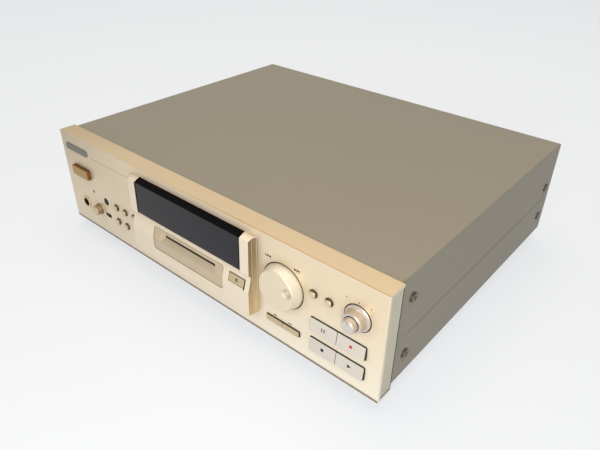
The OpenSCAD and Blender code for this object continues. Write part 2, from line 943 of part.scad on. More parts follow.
module disc_slot_housing() {
    color("#dcc8a4")
        on_deck()
            difference() {
                intersection() {
                    along_z(island_bottom_z - eps, island_joint_z)
                        island_plan();
                    along_x(-half_w, half_w)
                        slot_profile(0);
                    along_y(-island_d - eps, eps)
                        slot_outline();
                }
                along_y(-island_d - eps, -mouth_d)
                    escutcheon_outline(0.1);
                block([-door_w / 2 - free_gap, -mouth_d - eps, slot_z0 - 0.6],
                      [door_w / 2 + free_gap, eps, door_axis_z + door_barrel_r + free_gap]);
                door_bar(door_pin_r + running_gap, door_w / 2 + door_pin_len + free_gap);
                along_y(-island_d - eps, eps)
                    translate([eject_x, slot_z])
                        rounded_rect(eject_w + 2 * button_gap, eject_h + 2 * button_gap, 0.6);
            }
}

// The tapered mouth in front of the slot: it widens downward and to both ends
module slot_mouth() {
    run = island_d - mouth_d + eps;
    x = slot_w / 2;
    y0 = eps - mouth_d;
    y1 = -mouth_d - run;
    intersection() {
        along_x(-half_w, half_w)
            polygon([[y0, slot_z0], [-mouth_d, slot_z0], [y1, slot_z0 - run], [y1, slot_z1], [y0, slot_z1]]);
        along_z(escutcheon_z, island_joint_z)
            polygon([[-x, y0], [x, y0], [x, -mouth_d], [x + run, y1], [-x - run, y1], [-x, -mouth_d]]);
    }
}

module slot_escutcheon() {
    color("#c2b28e")
        on_deck()
            difference() {
                intersection() {
                    along_x(-half_w, half_w)
                        slot_profile(escutcheon_recess);
                    along_y(-island_d, -mouth_d)
                        escutcheon_outline(0);
                }
                slot_mouth();
            }
}

// A round bar on the door's axis
module door_bar(r, half_len) {
    bar_x(-door_axis_d, door_axis_z, r, -half_len, half_len);
}

module slot_door() {
    color("#8a7350")
        on_deck() {
            door_bar(door_barrel_r, door_w / 2);
            door_bar(door_pin_r, door_w / 2 + door_pin_len);
            block([-door_w / 2, -door_axis_d - door_t / 2, slot_z0 - 0.3],
                  [door_w / 2, -door_axis_d + door_t / 2, door_axis_z]);
        }
}

// ---- Buttons ----

// Stop flange and stem behind a button's cap
module button_back(x, z, w, h, travel) {
    reach = h / 2 + button_gap + lip;
    block([x - w / 2, stop_y, z - reach], [x + w / 2, stop_y + stop_t, z + reach]);
    bar_y(x, z, stem_dia / 2, stop_y + stop_t - lap, switch_y - travel - free_gap);
}

// A rectangular cap whose face stands out by top_d along its top edge and low_d along its bottom edge
module button_cap(x, z, w, h, top_d, low_d) {
    z0 = z - h / 2;
    z1 = z + h / 2;
    intersection() {
        along_x(x - w / 2, x + w / 2)
            polygon([[stop_y + lap, z0], [-low_d, z0], [-top_d, z1], [stop_y + lap, z1]]);
        along_y(-max(top_d, low_d) - eps, stop_y + eps)
            translate([x, z])
                rounded_rect(w, h, 0.5);
    }
}

module power_button() {
    color("#c29a55")
        on_deck() {
            button_cap(power_cx, power_z, power_w, power_h, power_d, power_d);
            button_back(power_cx, power_z, power_w, power_h, power_travel);
        }
}

// One of the four silver buttons, by column and row
module transport_button(col, row) {
    x = transport_cx + (col - 0.5) * (transport_w + button_gap);
    z = transport_zs[row];
    color("#cfc9be")
        on_deck() {
            button_cap(x, z, transport_w, transport_h, 1, 2.7);
            button_back(x, z, transport_w, transport_h, button_travel);
        }
}

module search_button(col) {
    x = jog_cx + (col - 0.5) * (search_w + button_gap);
    color("#d8c096")
        on_deck() {
            button_cap(x, search_z, search_w, search_h, 1.2, 1.6);
            button_back(x, search_z, search_w, search_h, button_travel);
        }
}

// Its cap follows the leaning slot face and slides through the housing
module eject_button() {
    z0 = slot_z - eject_h / 2;
    z1 = slot_z + eject_h / 2;
    color("#cdb98f")
        on_deck() {
            intersection() {
                along_x(eject_x - eject_w / 2, eject_x + eject_w / 2)
                    polygon([
                        [stop_y + lap, z0], [0.2 - slot_face_d(z0), z0],
                        [0.2 - slot_face_d(z1), z1], [stop_y + lap, z1]
                    ]);
                along_y(-island_d - eps, stop_y + eps)
                    translate([eject_x, slot_z])
                        rounded_rect(eject_w, eject_h, 0.5);
            }
            block([eject_x - eject_w / 2 - lip - button_gap, free_gap, z0 - lip],
                  [eject_x + eject_w / 2 + lip + button_gap, plate_t, z1 + lip]);
            bar_y(eject_x, slot_z, stem_dia / 2, stop_y, switch_y - button_travel - free_gap);
        }
}

module round_button(i) {
    p = round_buttons[i - 1];
    r = round_dia / 2;
    flange_r = round_hole_dia / 2 + lip;
    color(i > 5 ? "#cfc9be" : "#d3b67f")
        on_deck() {
            turned_out(p[0], p[1])
                polygon([
                    [0, -stop_y - stop_t], [flange_r, -stop_y - stop_t], [flange_r, -stop_y], [r, -stop_y],
                    [r, round_d - 0.5], [r - 0.5, round_d], [0, round_d]
                ]);
            bar_y(p[0], p[1], stem_dia / 2, stop_y + stop_t - lap, switch_y - button_travel - free_gap);
        }
}

module timer_switch() {
    x = sensor_cx;
    color("#2a2825")
        on_deck() {
            block([x - 8.5, stop_y, lower_row_z - 3.5], [x + 8.5, stop_y + 1.4, lower_row_z + 3.5]);
            block([x - timer_nub[0] / 2, -0.9, lower_row_z - timer_nub[1] / 2],
                  [x + timer_nub[0] / 2, stop_y + lap, lower_row_z + timer_nub[1] / 2]);
        }
}

// ---- Knobs, lenses and the phones socket ----

module jog_dial() {
    r = jog_dia / 2;
    color("#e2d5bb")
        on_deck()
            difference() {
                union() {
                    turned_out(jog_cx, jog_z)
                        polygon([
                            [0, -2.2], [r, -2.2], [r, 1.4], [r - 0.9, 1.8], [r - 1.1, 3],
                            [r - 2.1, jog_d - 0.8], [r - 2.9, jog_d], [0, jog_d]
                        ]);
                    bar_y(jog_cx, jog_z, jog_stem_r, 2, board_y - 1.5);
                }
                translate([jog_cx + 0.57 * r, -jog_d - 5.2, jog_z + 0.17 * r])
                    sphere(r = 7.2);
            }
}

module level_knob() {
    r = level_dia / 2;
    bore_r = balance_stem_r + running_gap;
    color("#c4bcc2")
        on_deck()
            turned_out(level_cx, level_z)
                polygon([
                    [bore_r, 1.6 - board_y], [level_stem_r, 1.6 - board_y], [level_stem_r, -1.8], [r, -1.8],
                    [r, 0.6], [r - 0.6, 1.1], [r - 1.9, 1.5], [r - 2.6, 3], [r - 3, level_d - 0.6],
                    [r - 3.6, level_d], [bore_r, level_d]
                ]);
}

module balance_knob() {
    r = balance_dia / 2;
    back = level_d + free_gap;
    color("#cdc6cc")
        on_deck()
            difference() {
                turned_out(level_cx, level_z)
                    polygon([
                        [0, 0.6 - board_y], [balance_stem_r, 0.6 - board_y], [balance_stem_r, back],
                        [r, back], [r - 0.3, balance_d - 0.8], [r - 1, balance_d], [0, balance_d]
                    ]);
                block([level_cx - 0.4, -balance_d - eps, level_z + r - 3.4],
                      [level_cx + 0.4, 0.5 - balance_d, level_z + r]);
            }
}

module phones_knob() {
    r = phones_dia / 2;
    color("#cfab6c")
        on_deck()
            difference() {
                turned_out(phones_knob_cx, phones_z)
                    polygon([
                        [0, 1.6 - board_y], [phones_stem_r, 1.6 - board_y], [phones_stem_r, -2], [r, -2],
                        [r - 0.3, phones_d - 0.7], [r - 1, phones_d], [0, phones_d]
                    ]);
                block([phones_knob_cx - 0.4, -phones_d - eps, phones_z + r - 3.2],
                      [phones_knob_cx + 0.4, 0.5 - phones_d, phones_z + r]);
            }
}

module phones_jack() {
    x = phones_cx;
    half = phones_body[0] / 2;
    back = plate_t + phones_body[1];
    color("#c9a765")
        on_deck()
            difference() {
                union() {
                    block([x - half, plate_t, phones_z - half], [x + half, back, phones_z + half]);
                    turned_out(x, phones_z)
                        polygon([
                            [0, -plate_t - lap], [5.5, -plate_t - lap], [5.5, 0],
                            [7, 0], [7, 0.8], [6.5, 1.3], [0, 1.3]
                        ]);
                }
                bar_y(x, phones_z, phones_bore / 2, -2, back - 2);
            }
}

module ir_window() {
    r = sensor_dia / 2;
    color("#151313")
        on_deck()
            turned_out(sensor_cx, upper_row_z)
                polygon([
                    [0, -plate_t - 3], [r + 1, -plate_t - 3], [r + 1, -plate_t],
                    [r - 0.1, -plate_t], [r - 0.1, 0], [0, 0]
                ]);
}

module standby_lens() {
    r = lens_dia / 2;
    color("#8b8c78")
        on_deck()
            turned_out(lens_cx, lens_z)
                polygon([
                    [0, -plate_t - 4], [r + 0.8, -plate_t - 4], [r + 0.8, -plate_t], [r - 0.05, -plate_t],
                    [r - 0.05, 0.2], [r - 0.5, 0.5], [0, 0.5]
                ]);
}

// ---- Control boards ----

// Places of the push switches, in (x, z)
switch_places = concat(
    round_buttons,
    [for (col = [-0.5, 0.5], z = transport_zs) [transport_cx + col * (transport_w + button_gap), z]],
    [for (col = [-0.5, 0.5]) [jog_cx + col * (search_w + button_gap), search_z]],
    [[eject_x, slot_z], [power_cx, power_z]]
);

// Corners of the power, phones, transport and display boards and of the display board's eject tab, in (x, z)
board_corners = [
    [[-board_end, power_board_z], [-board_in, display_board_top]],
    [[phones_board_x, board_z0], [-board_in, phones_board_top]],
    [[board_in, board_z0], [board_end, display_board_top]],
    [[-mid_board_w / 2, mid_board_z0], [mid_board_w / 2, display_board_top]],
    [[mid_board_w / 2 - eject_tab_w, slot_z - 10], [mid_board_w / 2, mid_board_z0 + lap]]
];

module control_boards() {
    color("#8a6f3c")
        on_deck() {
            along_y(board_y, board_y + board_t)
                for (c = board_corners)
                    translate(c[0])
                        square(c[1] - c[0]);
            along_y(switch_y + 0.4, board_y + lap)
                for (p = switch_places)
                    translate(p)
                        square(switch_size, center = true);
            along_y(stop_y + 1.4 + free_gap, board_y + lap)
                translate([sensor_cx, lower_row_z])
                    square([14, 6], center = true);
        }
}

// A potentiometer's body and bushing with a bore for a stem
module pot(x, z, size, bush_r, bore_r, body_y) {
    difference() {
        union() {
            along_y(body_y, board_y)
                translate([x, z])
                    rounded_rect(size, size, 1);
            bar_y(x, z, bush_r, body_y - 1.6, body_y + lap);
        }
        bar_y(x, z, bore_r, 0, board_y - 0.4);
    }
}

module control_pots() {
    color("#7c7f80")
        on_deck() {
            pot(jog_cx, jog_z, 22, 5, jog_stem_r + running_gap, 6.5);
            pot(level_cx, level_z, 18, 6, level_stem_r + running_gap, 6.5);
            pot(phones_knob_cx, phones_z, 12, 4.5, phones_stem_r + running_gap, 6.5);
        }
}

module display_tube() {
    color("#2e4446")
        on_deck() {
            block([-tube_w / 2, 4.5, tube_z0], [tube_w / 2, 10.5, tube_z1]);
            block([-tube_w / 2 + 4, 10.4, tube_z0 + 3], [tube_w / 2 - 4, board_y, tube_z1 - 3]);
        }
}

// ---- Main electronics ----

module main_circuit_board() {
    color("#7f8a4a")
        on_deck()
            difference() {
                translate([main_x0, main_y0, board_top - board_t])
                    cube([main_board_w, main_board_d, board_t]);
                for (p = main_screws)
                    translate([p[0], p[1], board_top - board_t - eps])
                        cylinder(r = 1.7, h = board_t + 2 * eps);
            }
}

// A radial capacitor standing on the board
module capacitor(x, y, r, h) {
    translate([main_x0 + x, main_y0 + y, board_top])
        rotate_extrude()
            polygon([
                [0, 0], [r, 0], [r, h * 0.1], [r - 0.4, h * 0.14], [r, h * 0.18],
                [r, h - 0.5], [r - 0.5, h], [0, h]
            ]);
}

// A flat chip package on the board
module chip(x, y, w, d) {
    translate([main_x0 + x, main_y0 + y, board_top])
        linear_extrude(2.2)
            rounded_rect(w, d, 0.6);
}

module board_components() {
    color("#33363a")
        on_deck() {
            for (c = capacitors)
                capacitor(c[0], c[1], c[2], c[3]);
            for (c = chips)
                chip(c[0], c[1], c[2], c[3]);
        }
}

module heat_sink() {
    fins = 7;
    w = (fins - 1) * fin_pitch + fin_t;
    color("#3a3b3d")
        on_deck()
            translate([main_x0 + heat_sink_x, main_y0 + main_board_d - heat_sink_setback, board_top])
                linear_extrude(heat_sink_h) {
                    square([w, fin_t + 1]);
                    for (i = [0:fins - 1])
                        translate([i * fin_pitch, 0])
                            square([fin_t, fin_d]);
                }
}

// Laminated core with its winding and the bracket feet
module power_transformer() {
    color("#6e6a64")
        on_deck()
            translate([transformer_x, transformer_y, floor_z]) {
                difference() {
                    translate([-core_w / 2, -core_d / 2, 0])
                        cube([core_w, core_d, core_h]);
                    for (side = [-1, 1])
                        translate([side * core_w / 4 - core_w / 12, -core_d / 2 - eps, core_w / 6])
                            cube([core_w / 6, core_d + 2 * eps, core_h - core_w / 3]);
                }
                for (side = [-1, 1])
                    translate([side > 0 ? core_w / 2 - lap : -core_w / 2 - 11.9, -core_d / 2, 0])
                        cube([12, core_d, 1.6]);
            }
    color("#a8652e")
        on_deck()
            translate([transformer_x, transformer_y, floor_z + core_h / 2])
                difference() {
                    linear_extrude(core_h - core_w / 3 - 1, center = true)
                        rounded_rect(core_w * 2 / 3 - 1, core_d + 22, 6);
                    cube([core_w / 3 + 0.2, core_d + 0.2, core_h], center = true);
                }
}

// ---- Disc mechanism ----

// Bridge over the chassis floor that carries the dampers
module mechanism_bracket() {
    margin = 0.8 * damper_dia;
    x0 = damper_xs[0] - margin;
    x1 = damper_xs[1] + margin;
    y0 = damper_ys[0] - margin;
    y1 = damper_ys[1] + margin;
    t = base_t;
    color("#b4b6b6")
        on_deck()
            difference() {
                union() {
                    block([x0, y0, damper_z0 - t], [x1, y1, damper_z0]);
                    for (x = [x0, x1 - t])
                        block([x, y0, floor_z], [x + t, y1, damper_z0 - lap]);
                    for (x = [x0 - 10, x1 - t])
                        block([x, y0, floor_z], [x + 10 + t, y1, floor_z + t]);
                }
                translate([(x0 + x1) / 2, (y0 + y1) / 2, damper_z0 - t - eps])
                    linear_extrude(t + 2 * eps)
                        rounded_rect(x1 - x0 - 44, y1 - y0 - 34, 5);
            }
}

module mechanism_dampers() {
    r = damper_dia / 2;
    h = damper_h;
    color("#302f33")
        on_deck()
            for (x = damper_xs, y = damper_ys)
                translate([x, y, damper_z0])
                    rotate_extrude()
                        polygon([
                            [0, 0], [r, 0], [r, 0.3 * h], [r - 1.5, 0.4 * h], [r - 1.5, 0.6 * h],
                            [r, 0.7 * h], [r, h], [0, h]
                        ]);
}

// Outline of one side wall with its upright pin slots, in (y, z)
module frame_wall_outline() {
    difference() {
        translate([tower_y[0], frame_z + lap])
            square([tower_y[1] - tower_y[0], frame_top - frame_z - lap]);
        for (dy = [-pin_dy, pin_dy])
            round_slot([disc_y + dy, slot_z - load_drop], [disc_y + dy, slot_z], pin_r + pin_gap);
    }
}

module mechanism_frame() {
    color("#c3c5c6")
        on_deck()
            difference() {
                union() {
                    block([-frame_x - frame_t, frame_y0, frame_z],
                          [frame_right, frame_y1, frame_z + frame_t]);
                    along_x(-frame_x - frame_t, -frame_x)
                        frame_wall_outline();
                    along_x(frame_x, frame_x + frame_t)
                        frame_wall_outline();
                    for (y = guide_ys)
                        bar_x(y, guide_z, pin_r, -plate_x - slide_plate_t - 0.8, -frame_x);
                    for (x = lug_xs) {
                        rod_lug(x, disc_y - rod_y - 3, disc_y - rod_y + 3);
                        rod_lug(x, screw_y - 2.2, disc_y + rod_y + 3);
                    }
                }
                block([frame_x - eps, disc_y - notch_dy, frame_z + frame_t + 1],
                      [frame_x + frame_t + eps, disc_y + notch_dy, frame_top + eps]);
                for (y = [disc_y - rod_y, disc_y + rod_y])
                    bar_x(y, rod_z, rod_r, lug_xs[0] - eps, lug_xs[1] + lug_t + eps);
                bar_x(screw_y, rod_z, screw_r + running_gap, lug_xs[0] - eps, lug_xs[1] + lug_t + eps);
            }
}

// An upright lug that holds a guide rod
module rod_lug(x, y0, y1) {
    block([x, y0, frame_z + frame_t - lap], [x + lug_t, y1, lug_top]);
}

module guide_rods() {
    color("#d9dbdc")
        on_deck()
            for (y = [disc_y - rod_y, disc_y + rod_y])
                bar_x(y, rod_z, rod_r, lug_xs[0], lug_xs[1] + lug_t);
}

module cartridge_holder() {
    color("#b8babb")
        on_deck()
            difference() {
                union() {
                    block([-holder_x, holder_y0, holder_z0], [holder_x, holder_y1, holder_z1]);
                    block([-holder_x, holder_y1 - lap, holder_z0],
                          [holder_x, holder_y1 + holder_t, holder_z1]);
                    for (dy = [-pin_dy, pin_dy]) {
                        bar_x(disc_y + dy, slot_z, pin_r, -plate_x - slide_plate_t - 0.8, -holder_x + lap);
                        bar_x(disc_y + dy, slot_z, pin_r, holder_x - lap, frame_x + frame_t);
                    }
                }
                block([-holder_w / 2, holder_y0 - eps, slot_z - holder_h / 2],
                      [holder_w / 2, holder_y1, slot_z + holder_h / 2]);
                block([holder_lip - holder_w / 2, holder_y0 - eps, holder_z0 - eps],
                      [holder_w / 2 - holder_lip, holder_y1 - 4, slot_z]);
                block([0, disc_y - 12, holder_z0 - eps], [holder_w / 2, disc_y + 12, slot_z]);
                block([track_r - 5.5, disc_y - 8, slot_z], [track_r + 21, disc_y + 8, holder_z1 + eps]);
            }
}

// Rack teeth that point down from the slide plate, in (y, z)
module rack_teeth(count) {
    pitch = PI * gear_module;
    half = pitch / 4 - backlash / 2;
    rise = 1.25 * gear_module;
    tip = gear_module;
    for (i = [0:count - 1])
        translate([gear_y + (i - count + 2.5) * pitch, rack_pitch_z])
            polygon([
                [-half - rise * tan(20), rise + lap], [tip * tan(20) - half, -tip],
                [half - tip * tan(20), -tip], [half + rise * tan(20), rise + lap]
            ]);
}

module slide_plate() {
    color("#d0d2d3")
        on_deck()
            along_x(-plate_x - slide_plate_t, -plate_x)
                difference() {
                    union() {
                        translate([slide_y0, rack_root_z])
                            square([slide_y1 - slide_y0, slide_z1 - rack_root_z]);
                        rack_teeth(7);
                    }
                    for (y = [disc_y - pin_dy, disc_y + pin_dy])
                        round_slot([y - slide_travel, slot_z - load_drop], [y, slot_z], pin_r + pin_gap);
                    for (y = guide_ys)
                        round_slot([y - slide_travel, guide_z], [y, guide_z], pin_r + pin_gap);
                }
}

// One point of an involute from a base circle, after an unwinding angle in degrees
function involute(base_r, a) = base_r * [cos(a) + a * PI / 180 * sin(a), sin(a) - a * PI / 180 * cos(a)];

// Angle of the involute at a radius
function involute_angle(base_r, r) = sqrt(pow(r / base_r, 2) - 1) * 180 / PI;

// A spur gear's outline with a tooth pointing along +X
module gear_outline(teeth) {
    r = gear_module * teeth / 2;
    base_r = r * cos(20);
    root_r = r - 1.25 * gear_module;
    tip_r = r + gear_module;
    steps = 4;
    a_tip = involute_angle(base_r, tip_r);
    p_ref = involute(base_r, involute_angle(base_r, r));
    half = 90 / teeth - backlash / 2 / r * 180 / PI / 2 + atan2(p_ref[1], p_ref[0]);
    flank = [for (i = [0:steps]) involute(base_r, a_tip * i / steps)];
    near = [for (p = flank) [p[0] * cos(half) + p[1] * sin(half), p[1] * cos(half) - p[0] * sin(half)]];
    circle(root_r + 0.05);
    for (t = [0:teeth - 1])
        rotate(t * 360 / teeth)
            polygon(concat(
                [[root_r - 0.5, -tan(half) * root_r]],
                near,
                [for (i = [steps:-1:0]) [near[i][0], -near[i][1]]],
                [[root_r - 0.5, tan(half) * root_r]]
            ));
}

module loading_gear() {
    color("#e8e4d8")
        on_deck()
            translate([0, gear_y, gear_z])
                rotate([90, 0, 90]) {
                    translate([0, 0, -plate_x - slide_plate_t])
                        linear_extrude(slide_plate_t)
                            rotate(90)
                                gear_outline(gear_teeth);
                    translate([0, 0, -plate_x - slide_plate_t])
                        cylinder(r = gear_shaft_r, h = gear_shaft_len);
                }
}

// Spindle motor's can, the feed motor behind the lead screw, and the loading gearbox under the frame
module mechanism_motors() {
    gearbox_x = -frame_x;
    color("#9fa2a3")
        on_deck() {
            difference() {
                translate([0, disc_y, frame_z + frame_t])
                    cylinder(r = spindle_can_r, h = 7.3);
                translate([0, disc_y, frame_z + frame_t + 0.6])
                    cylinder(r = spindle_r + running_gap, h = 10);
            }
            difference() {
                intersection() {
                    bar_x(screw_y, rod_z, motor_r, lug_xs[1] + lug_t, lug_xs[1] + lug_t + motor_len);
                    block([0, 0, rod_z - motor_flat], [half_w, deck_d, rod_z + motor_flat]);
                }
                bar_x(screw_y, rod_z, screw_r + running_gap, lug_xs[1], lug_xs[1] + lug_t + 3.5);
            }
            difference() {
                block([gearbox_x, gear_y - gearbox[1] / 2, damper_z0 + free_gap],
                      [gearbox_x + gearbox[0], gear_y + gearbox[1] / 2, frame_z]);
                bar_x(gear_y, gear_z, gear_shaft_r + running_gap, gearbox_x - eps, gearbox_x + 9.5);
            }
        }
}

module disc_spindle() {
    foot_z = frame_z + frame_t + 0.9;
    color("#dfe0e1")
        on_deck()
            translate([0, disc_y, 0])
                rotate_extrude()
                    polygon([
                        [0, foot_z], [spindle_r, foot_z], [spindle_r, turntable_z - 3],
                        [5.5, turntable_z - 1.4], [5.5, turntable_z], [2.4, turntable_z],
                        [1.4, turntable_z + 1.4], [0, turntable_z + 1.4]
                    ]);
}

module pickup_sled() {
    ear_z = head_pivot_z + 2;
    color("#4a4d52")
        on_deck() {
            difference() {
                union() {
                    block([track_r - sled_near, disc_y - sled_dy, sled_z0],
                          [track_r + sled_far, disc_y + sled_dy, sled_z1]);
                    block([track_r + 25, disc_y - 5, sled_z1 - lap], [track_r + sled_far, disc_y + 5, ear_z]);
                }
                for (y = [disc_y - rod_y, disc_y + rod_y])
                    bar_x(y, rod_z, rod_r + running_gap, 0, half_w);
                block([0, screw_y - screw_r - free_gap, sled_z0 - eps],
                      [half_w, screw_y + screw_r + free_gap, rod_z + screw_r + free_gap]);
                block([track_r + 24, disc_y - head_arm_w / 2 - free_gap, head_pivot_z - 3.2],
                      [track_r + sled_far + eps, disc_y + head_arm_w / 2 + free_gap, ear_z + eps]);
                bar_y(head_pivot_x, head_pivot_z, 1 + running_gap, disc_y - 6, disc_y + 6);
            }
            translate([track_r, disc_y, sled_z1 - lap])
                cylinder(r = 2.5, h = 1.5);
        }
}

module lead_screw() {
    color("#caccce")
        on_deck()
            bar_x(screw_y, rod_z, screw_r, lug_xs[0], lug_xs[1] + lug_t + 3);
}

// Arm that lowers the magnetic head through the holder's window
module head_arm() {
    color("#bfc1c2")
        on_deck() {
            bar_y(head_pivot_x, head_pivot_z, 1, disc_y - 5, disc_y + 5);
            bar_y(head_pivot_x, head_pivot_z, 1.9, disc_y - head_arm_w / 2, disc_y + head_arm_w / 2);
            block([track_r - 3, disc_y - head_arm_w / 2, head_pivot_z - 0.6],
                  [head_pivot_x, disc_y + head_arm_w / 2, head_pivot_z + 0.6]);
            block([track_r - 2.5, disc_y - 3, holder_z1 + 0.6],
                  [track_r + 2.5, disc_y + 3, head_pivot_z - 0.5]);
        }
}

// ---- Rear sockets ----

rca_places = [for (i = [0:1], j = [0:1]) [rca_x + i * rca_pitch, rca_z + j * rca_pitch]];
optical_xs = [optical_x, optical_x + optical_pitch];

module rca_jacks() {
    r = rca_dia / 2;
    color("#caa85c")
        on_deck()
            difference() {
                union() {
                    for (i = [0:1])
                        block([rca_x + i * rca_pitch - 6, rear_in_y - 12, board_top],
                              [rca_x + i * rca_pitch + 6, rear_in_y, rca_z + rca_pitch + 8]);
                    for (p = rca_places) {
                        bar_y(p[0], p[1], r, rear_in_y - lap, rear_face_y + rca_len);
                        bar_y(p[0], p[1], r + 1.6, rear_face_y, rear_face_y + 0.8);
                    }
                }
                for (p = rca_places)
                    bar_y(p[0], p[1], 1.7, rear_face_y + 1, rear_face_y + rca_len + eps);
            }
}

module optical_ports() {
    color("#1d1d1f")
        on_deck()
            for (x = optical_xs) {
                block([x - 6, rear_in_y - 10, board_top], [x + 6, rear_in_y, rca_z + 7]);
                block([x - optical_port[0] / 2, rear_in_y - lap, rca_z - optical_port[1] / 2],
                      [x + optical_port[0] / 2, rear_face_y + 1.2, rca_z + optical_port[1] / 2]);
            }
}

// Two-pin mains inlet whose flange lies on the outside of the rear panel
module ac_inlet() {
    pin_pitch = 8.6;
    color("#202022")
        on_deck()
            translate([-inlet_x, 0, inlet_z]) {
                difference() {
                    union() {
                        along_y(rear_face_y, rear_face_y + 2)
                            rounded_rect(inlet_hole[0], inlet_hole[1], 2);
                        along_y(rear_in_y - 15, rear_face_y + lap)
                            rounded_rect(inlet_hole[0] - 5, inlet_hole[1] - 5, 1.5);
                    }
                    along_y(rear_in_y - 11, rear_face_y + 2 + eps)
                        rounded_rect(17, 9, 4.4);
                }
                for (side = [-1, 1])
                    bar_y(side * pin_pitch / 2, 0, 1.2, rear_in_y - 11.1, rear_face_y);
            }
}

front_fascia();
end_caps();
front_subpanel();
base_chassis();
rear_panel();
top_cover();
feet();
case_screws();
display_housing();
display_window();
disc_slot_housing();
slot_escutcheon();
slot_door();
badge_plate();
power_button();
standby_lens();
phones_jack();
phones_knob();
ir_window();
timer_switch();
round_button(1);  // round_button_1
round_button(2);  // round_button_2
round_button(3);  // round_button_3
round_button(4);  // round_button_4
round_button(5);  // round_button_5
round_button(6);  // round_button_6
round_button(7);  // round_button_7
eject_button();
transport_button(0, 0);  // pause_button
transport_button(1, 0);  // record_button
transport_button(0, 1);  // stop_button
transport_button(1, 1);  // play_button
search_button(0);  // search_back_button
search_button(1);  // search_forward_button
jog_dial();
level_knob();
balance_knob();
control_boards();
control_pots();
display_tube();
main_circuit_board();
board_components();
power_transformer();
heat_sink();
mechanism_bracket();
mechanism_dampers();
mechanism_frame();
cartridge_holder();
slide_plate();
loading_gear();
mechanism_motors();
disc_spindle();
pickup_sled();
guide_rods();
lead_screw();
head_arm();
rca_jacks();
optical_ports();
ac_inlet();
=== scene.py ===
"""Minidisc deck: the finishes, printed marks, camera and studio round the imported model.

Places on the deck are written as on its drawing, in millimetres: x to the right of the centre, z up from the
panel's bottom edge, and "out" as the distance that something stands out of the panel's face. Sizes inside a
material and in the studio are in metres.
"""
import json
import math

import bmesh
import bpy
from mathutils import Matrix, Vector


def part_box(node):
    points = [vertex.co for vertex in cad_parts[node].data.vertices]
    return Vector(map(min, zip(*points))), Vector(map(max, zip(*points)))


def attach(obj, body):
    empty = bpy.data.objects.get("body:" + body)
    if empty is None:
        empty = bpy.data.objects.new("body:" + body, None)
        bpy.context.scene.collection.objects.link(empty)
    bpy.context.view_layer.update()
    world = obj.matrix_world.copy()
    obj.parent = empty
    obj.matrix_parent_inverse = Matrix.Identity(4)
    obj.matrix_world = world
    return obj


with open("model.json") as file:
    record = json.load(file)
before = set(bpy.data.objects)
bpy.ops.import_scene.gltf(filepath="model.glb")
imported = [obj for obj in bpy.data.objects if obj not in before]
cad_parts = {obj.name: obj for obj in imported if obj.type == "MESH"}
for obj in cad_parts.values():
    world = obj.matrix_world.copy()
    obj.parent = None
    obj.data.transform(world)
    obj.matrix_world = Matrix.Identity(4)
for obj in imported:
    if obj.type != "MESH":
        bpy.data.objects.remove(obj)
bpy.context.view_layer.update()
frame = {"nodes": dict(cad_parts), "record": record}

MM = 0.001
NODES = frame["nodes"]
BODIES = frame["record"]["behaviour"]["bodies"]
BODY_OF = {node: body for body, members in BODIES.items() for node in members}
panel_low, panel_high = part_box("front_fascia")
PANEL_Y = panel_low.y
PANEL_Z = panel_low.z
PANEL_H = (panel_high.z - panel_low.z) / MM


def on_panel(x, z, out=0.0):
    """A point of the deck's drawing as a point of the frame."""
    return Vector((x * MM, PANEL_Y - out * MM, PANEL_Z + z * MM))


def centre_of(node):
    """Where a node's middle lies on the deck's drawing, as (x, z)."""
    low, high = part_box(node)
    middle = (low + high) / 2
    return middle.x / MM, (middle.z - PANEL_Z) / MM


def out_of(node):
    """How far a node stands out of the panel's face."""
    return (PANEL_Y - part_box(node)[0].y) / MM


# ---- Camera ----

CAMERA_AZIMUTH = 39.99
CAMERA_ELEVATION = 32.51
CAMERA_ROLL = 1.01
CAMERA_X, CAMERA_Z, CAMERA_OUT = 365.84, 364.0, 275.06
LENS = 33.64
SENSOR = 36.0


def add_camera():
    """The camera of the photograph, fitted to the deck's corners."""
    azimuth, elevation, roll = (math.radians(a) for a in (CAMERA_AZIMUTH, CAMERA_ELEVATION, CAMERA_ROLL))
    level = math.cos(elevation)
    back = Vector((math.sin(azimuth) * level, -math.cos(azimuth) * level, math.sin(elevation)))
    right = Vector((0, 0, 1)).cross(back).normalized()
    up = back.cross(right)
    rolled_right = math.cos(roll) * right + math.sin(roll) * up
    rolled_up = math.cos(roll) * up - math.sin(roll) * right
    data = bpy.data.cameras.new("camera")
    data.lens = LENS
    data.sensor_width = SENSOR
    data.clip_start = 0.01
    data.clip_end = 50
    camera = bpy.data.objects.new("camera", data)
    camera.matrix_world = Matrix((rolled_right, rolled_up, back)).transposed().to_4x4()
    camera.location = on_panel(CAMERA_X, CAMERA_Z, CAMERA_OUT)
    bpy.context.scene.collection.objects.link(camera)
    bpy.context.scene.camera = camera


# ---- Materials ----

EDGE_RADIUS = 0.0003
EDGE_TINT_RADIUS = 0.0006
BEVEL_SAMPLES = 4
CORNER_SAMPLES = 6
GRAIN_SIZE = 0.0003
GLOSS_SIZE = 0.0008
GRAIN_DEPTH = 0.0000008
MOULD_GRAIN = 0.0004
MOULD_DEPTH, BLOCK_DEPTH = 0.000003, 0.000002
RING_PITCH = 0.00025
RING_DEPTH = 0.0000004
WAVE_PERIOD = 0.314  # of the Wave texture at a scale of 1
SHELL_SCALE = (1, 0.15, 1)  # draws the wave's shells out along a knob's axis
NOISE_LOW, NOISE_HIGH = 0.25, 0.75  # between these lies nearly all of a noise
DRAWN = (40, 1, 1)  # a grain drawn out along the deck's width
EVEN = (1, 1, 1)


def rgb(red, green, blue):
    """A colour as it is seen on a screen, from 0 to 255, as the shader's linear colour."""
    parts = [c / 255 for c in (red, green, blue)]
    return (*(c / 12.92 if c <= 0.04045 else ((c + 0.055) / 1.055) ** 2.4 for c in parts), 1.0)


# pale edge tint: wear, and a painted highlight on sharp edges
EDGE_WEAR_AND_HIGHLIGHT = rgb(250, 238, 214)
# painted shade for inner corners
CORNER_SHADE_GOLD = rgb(150, 120, 80)


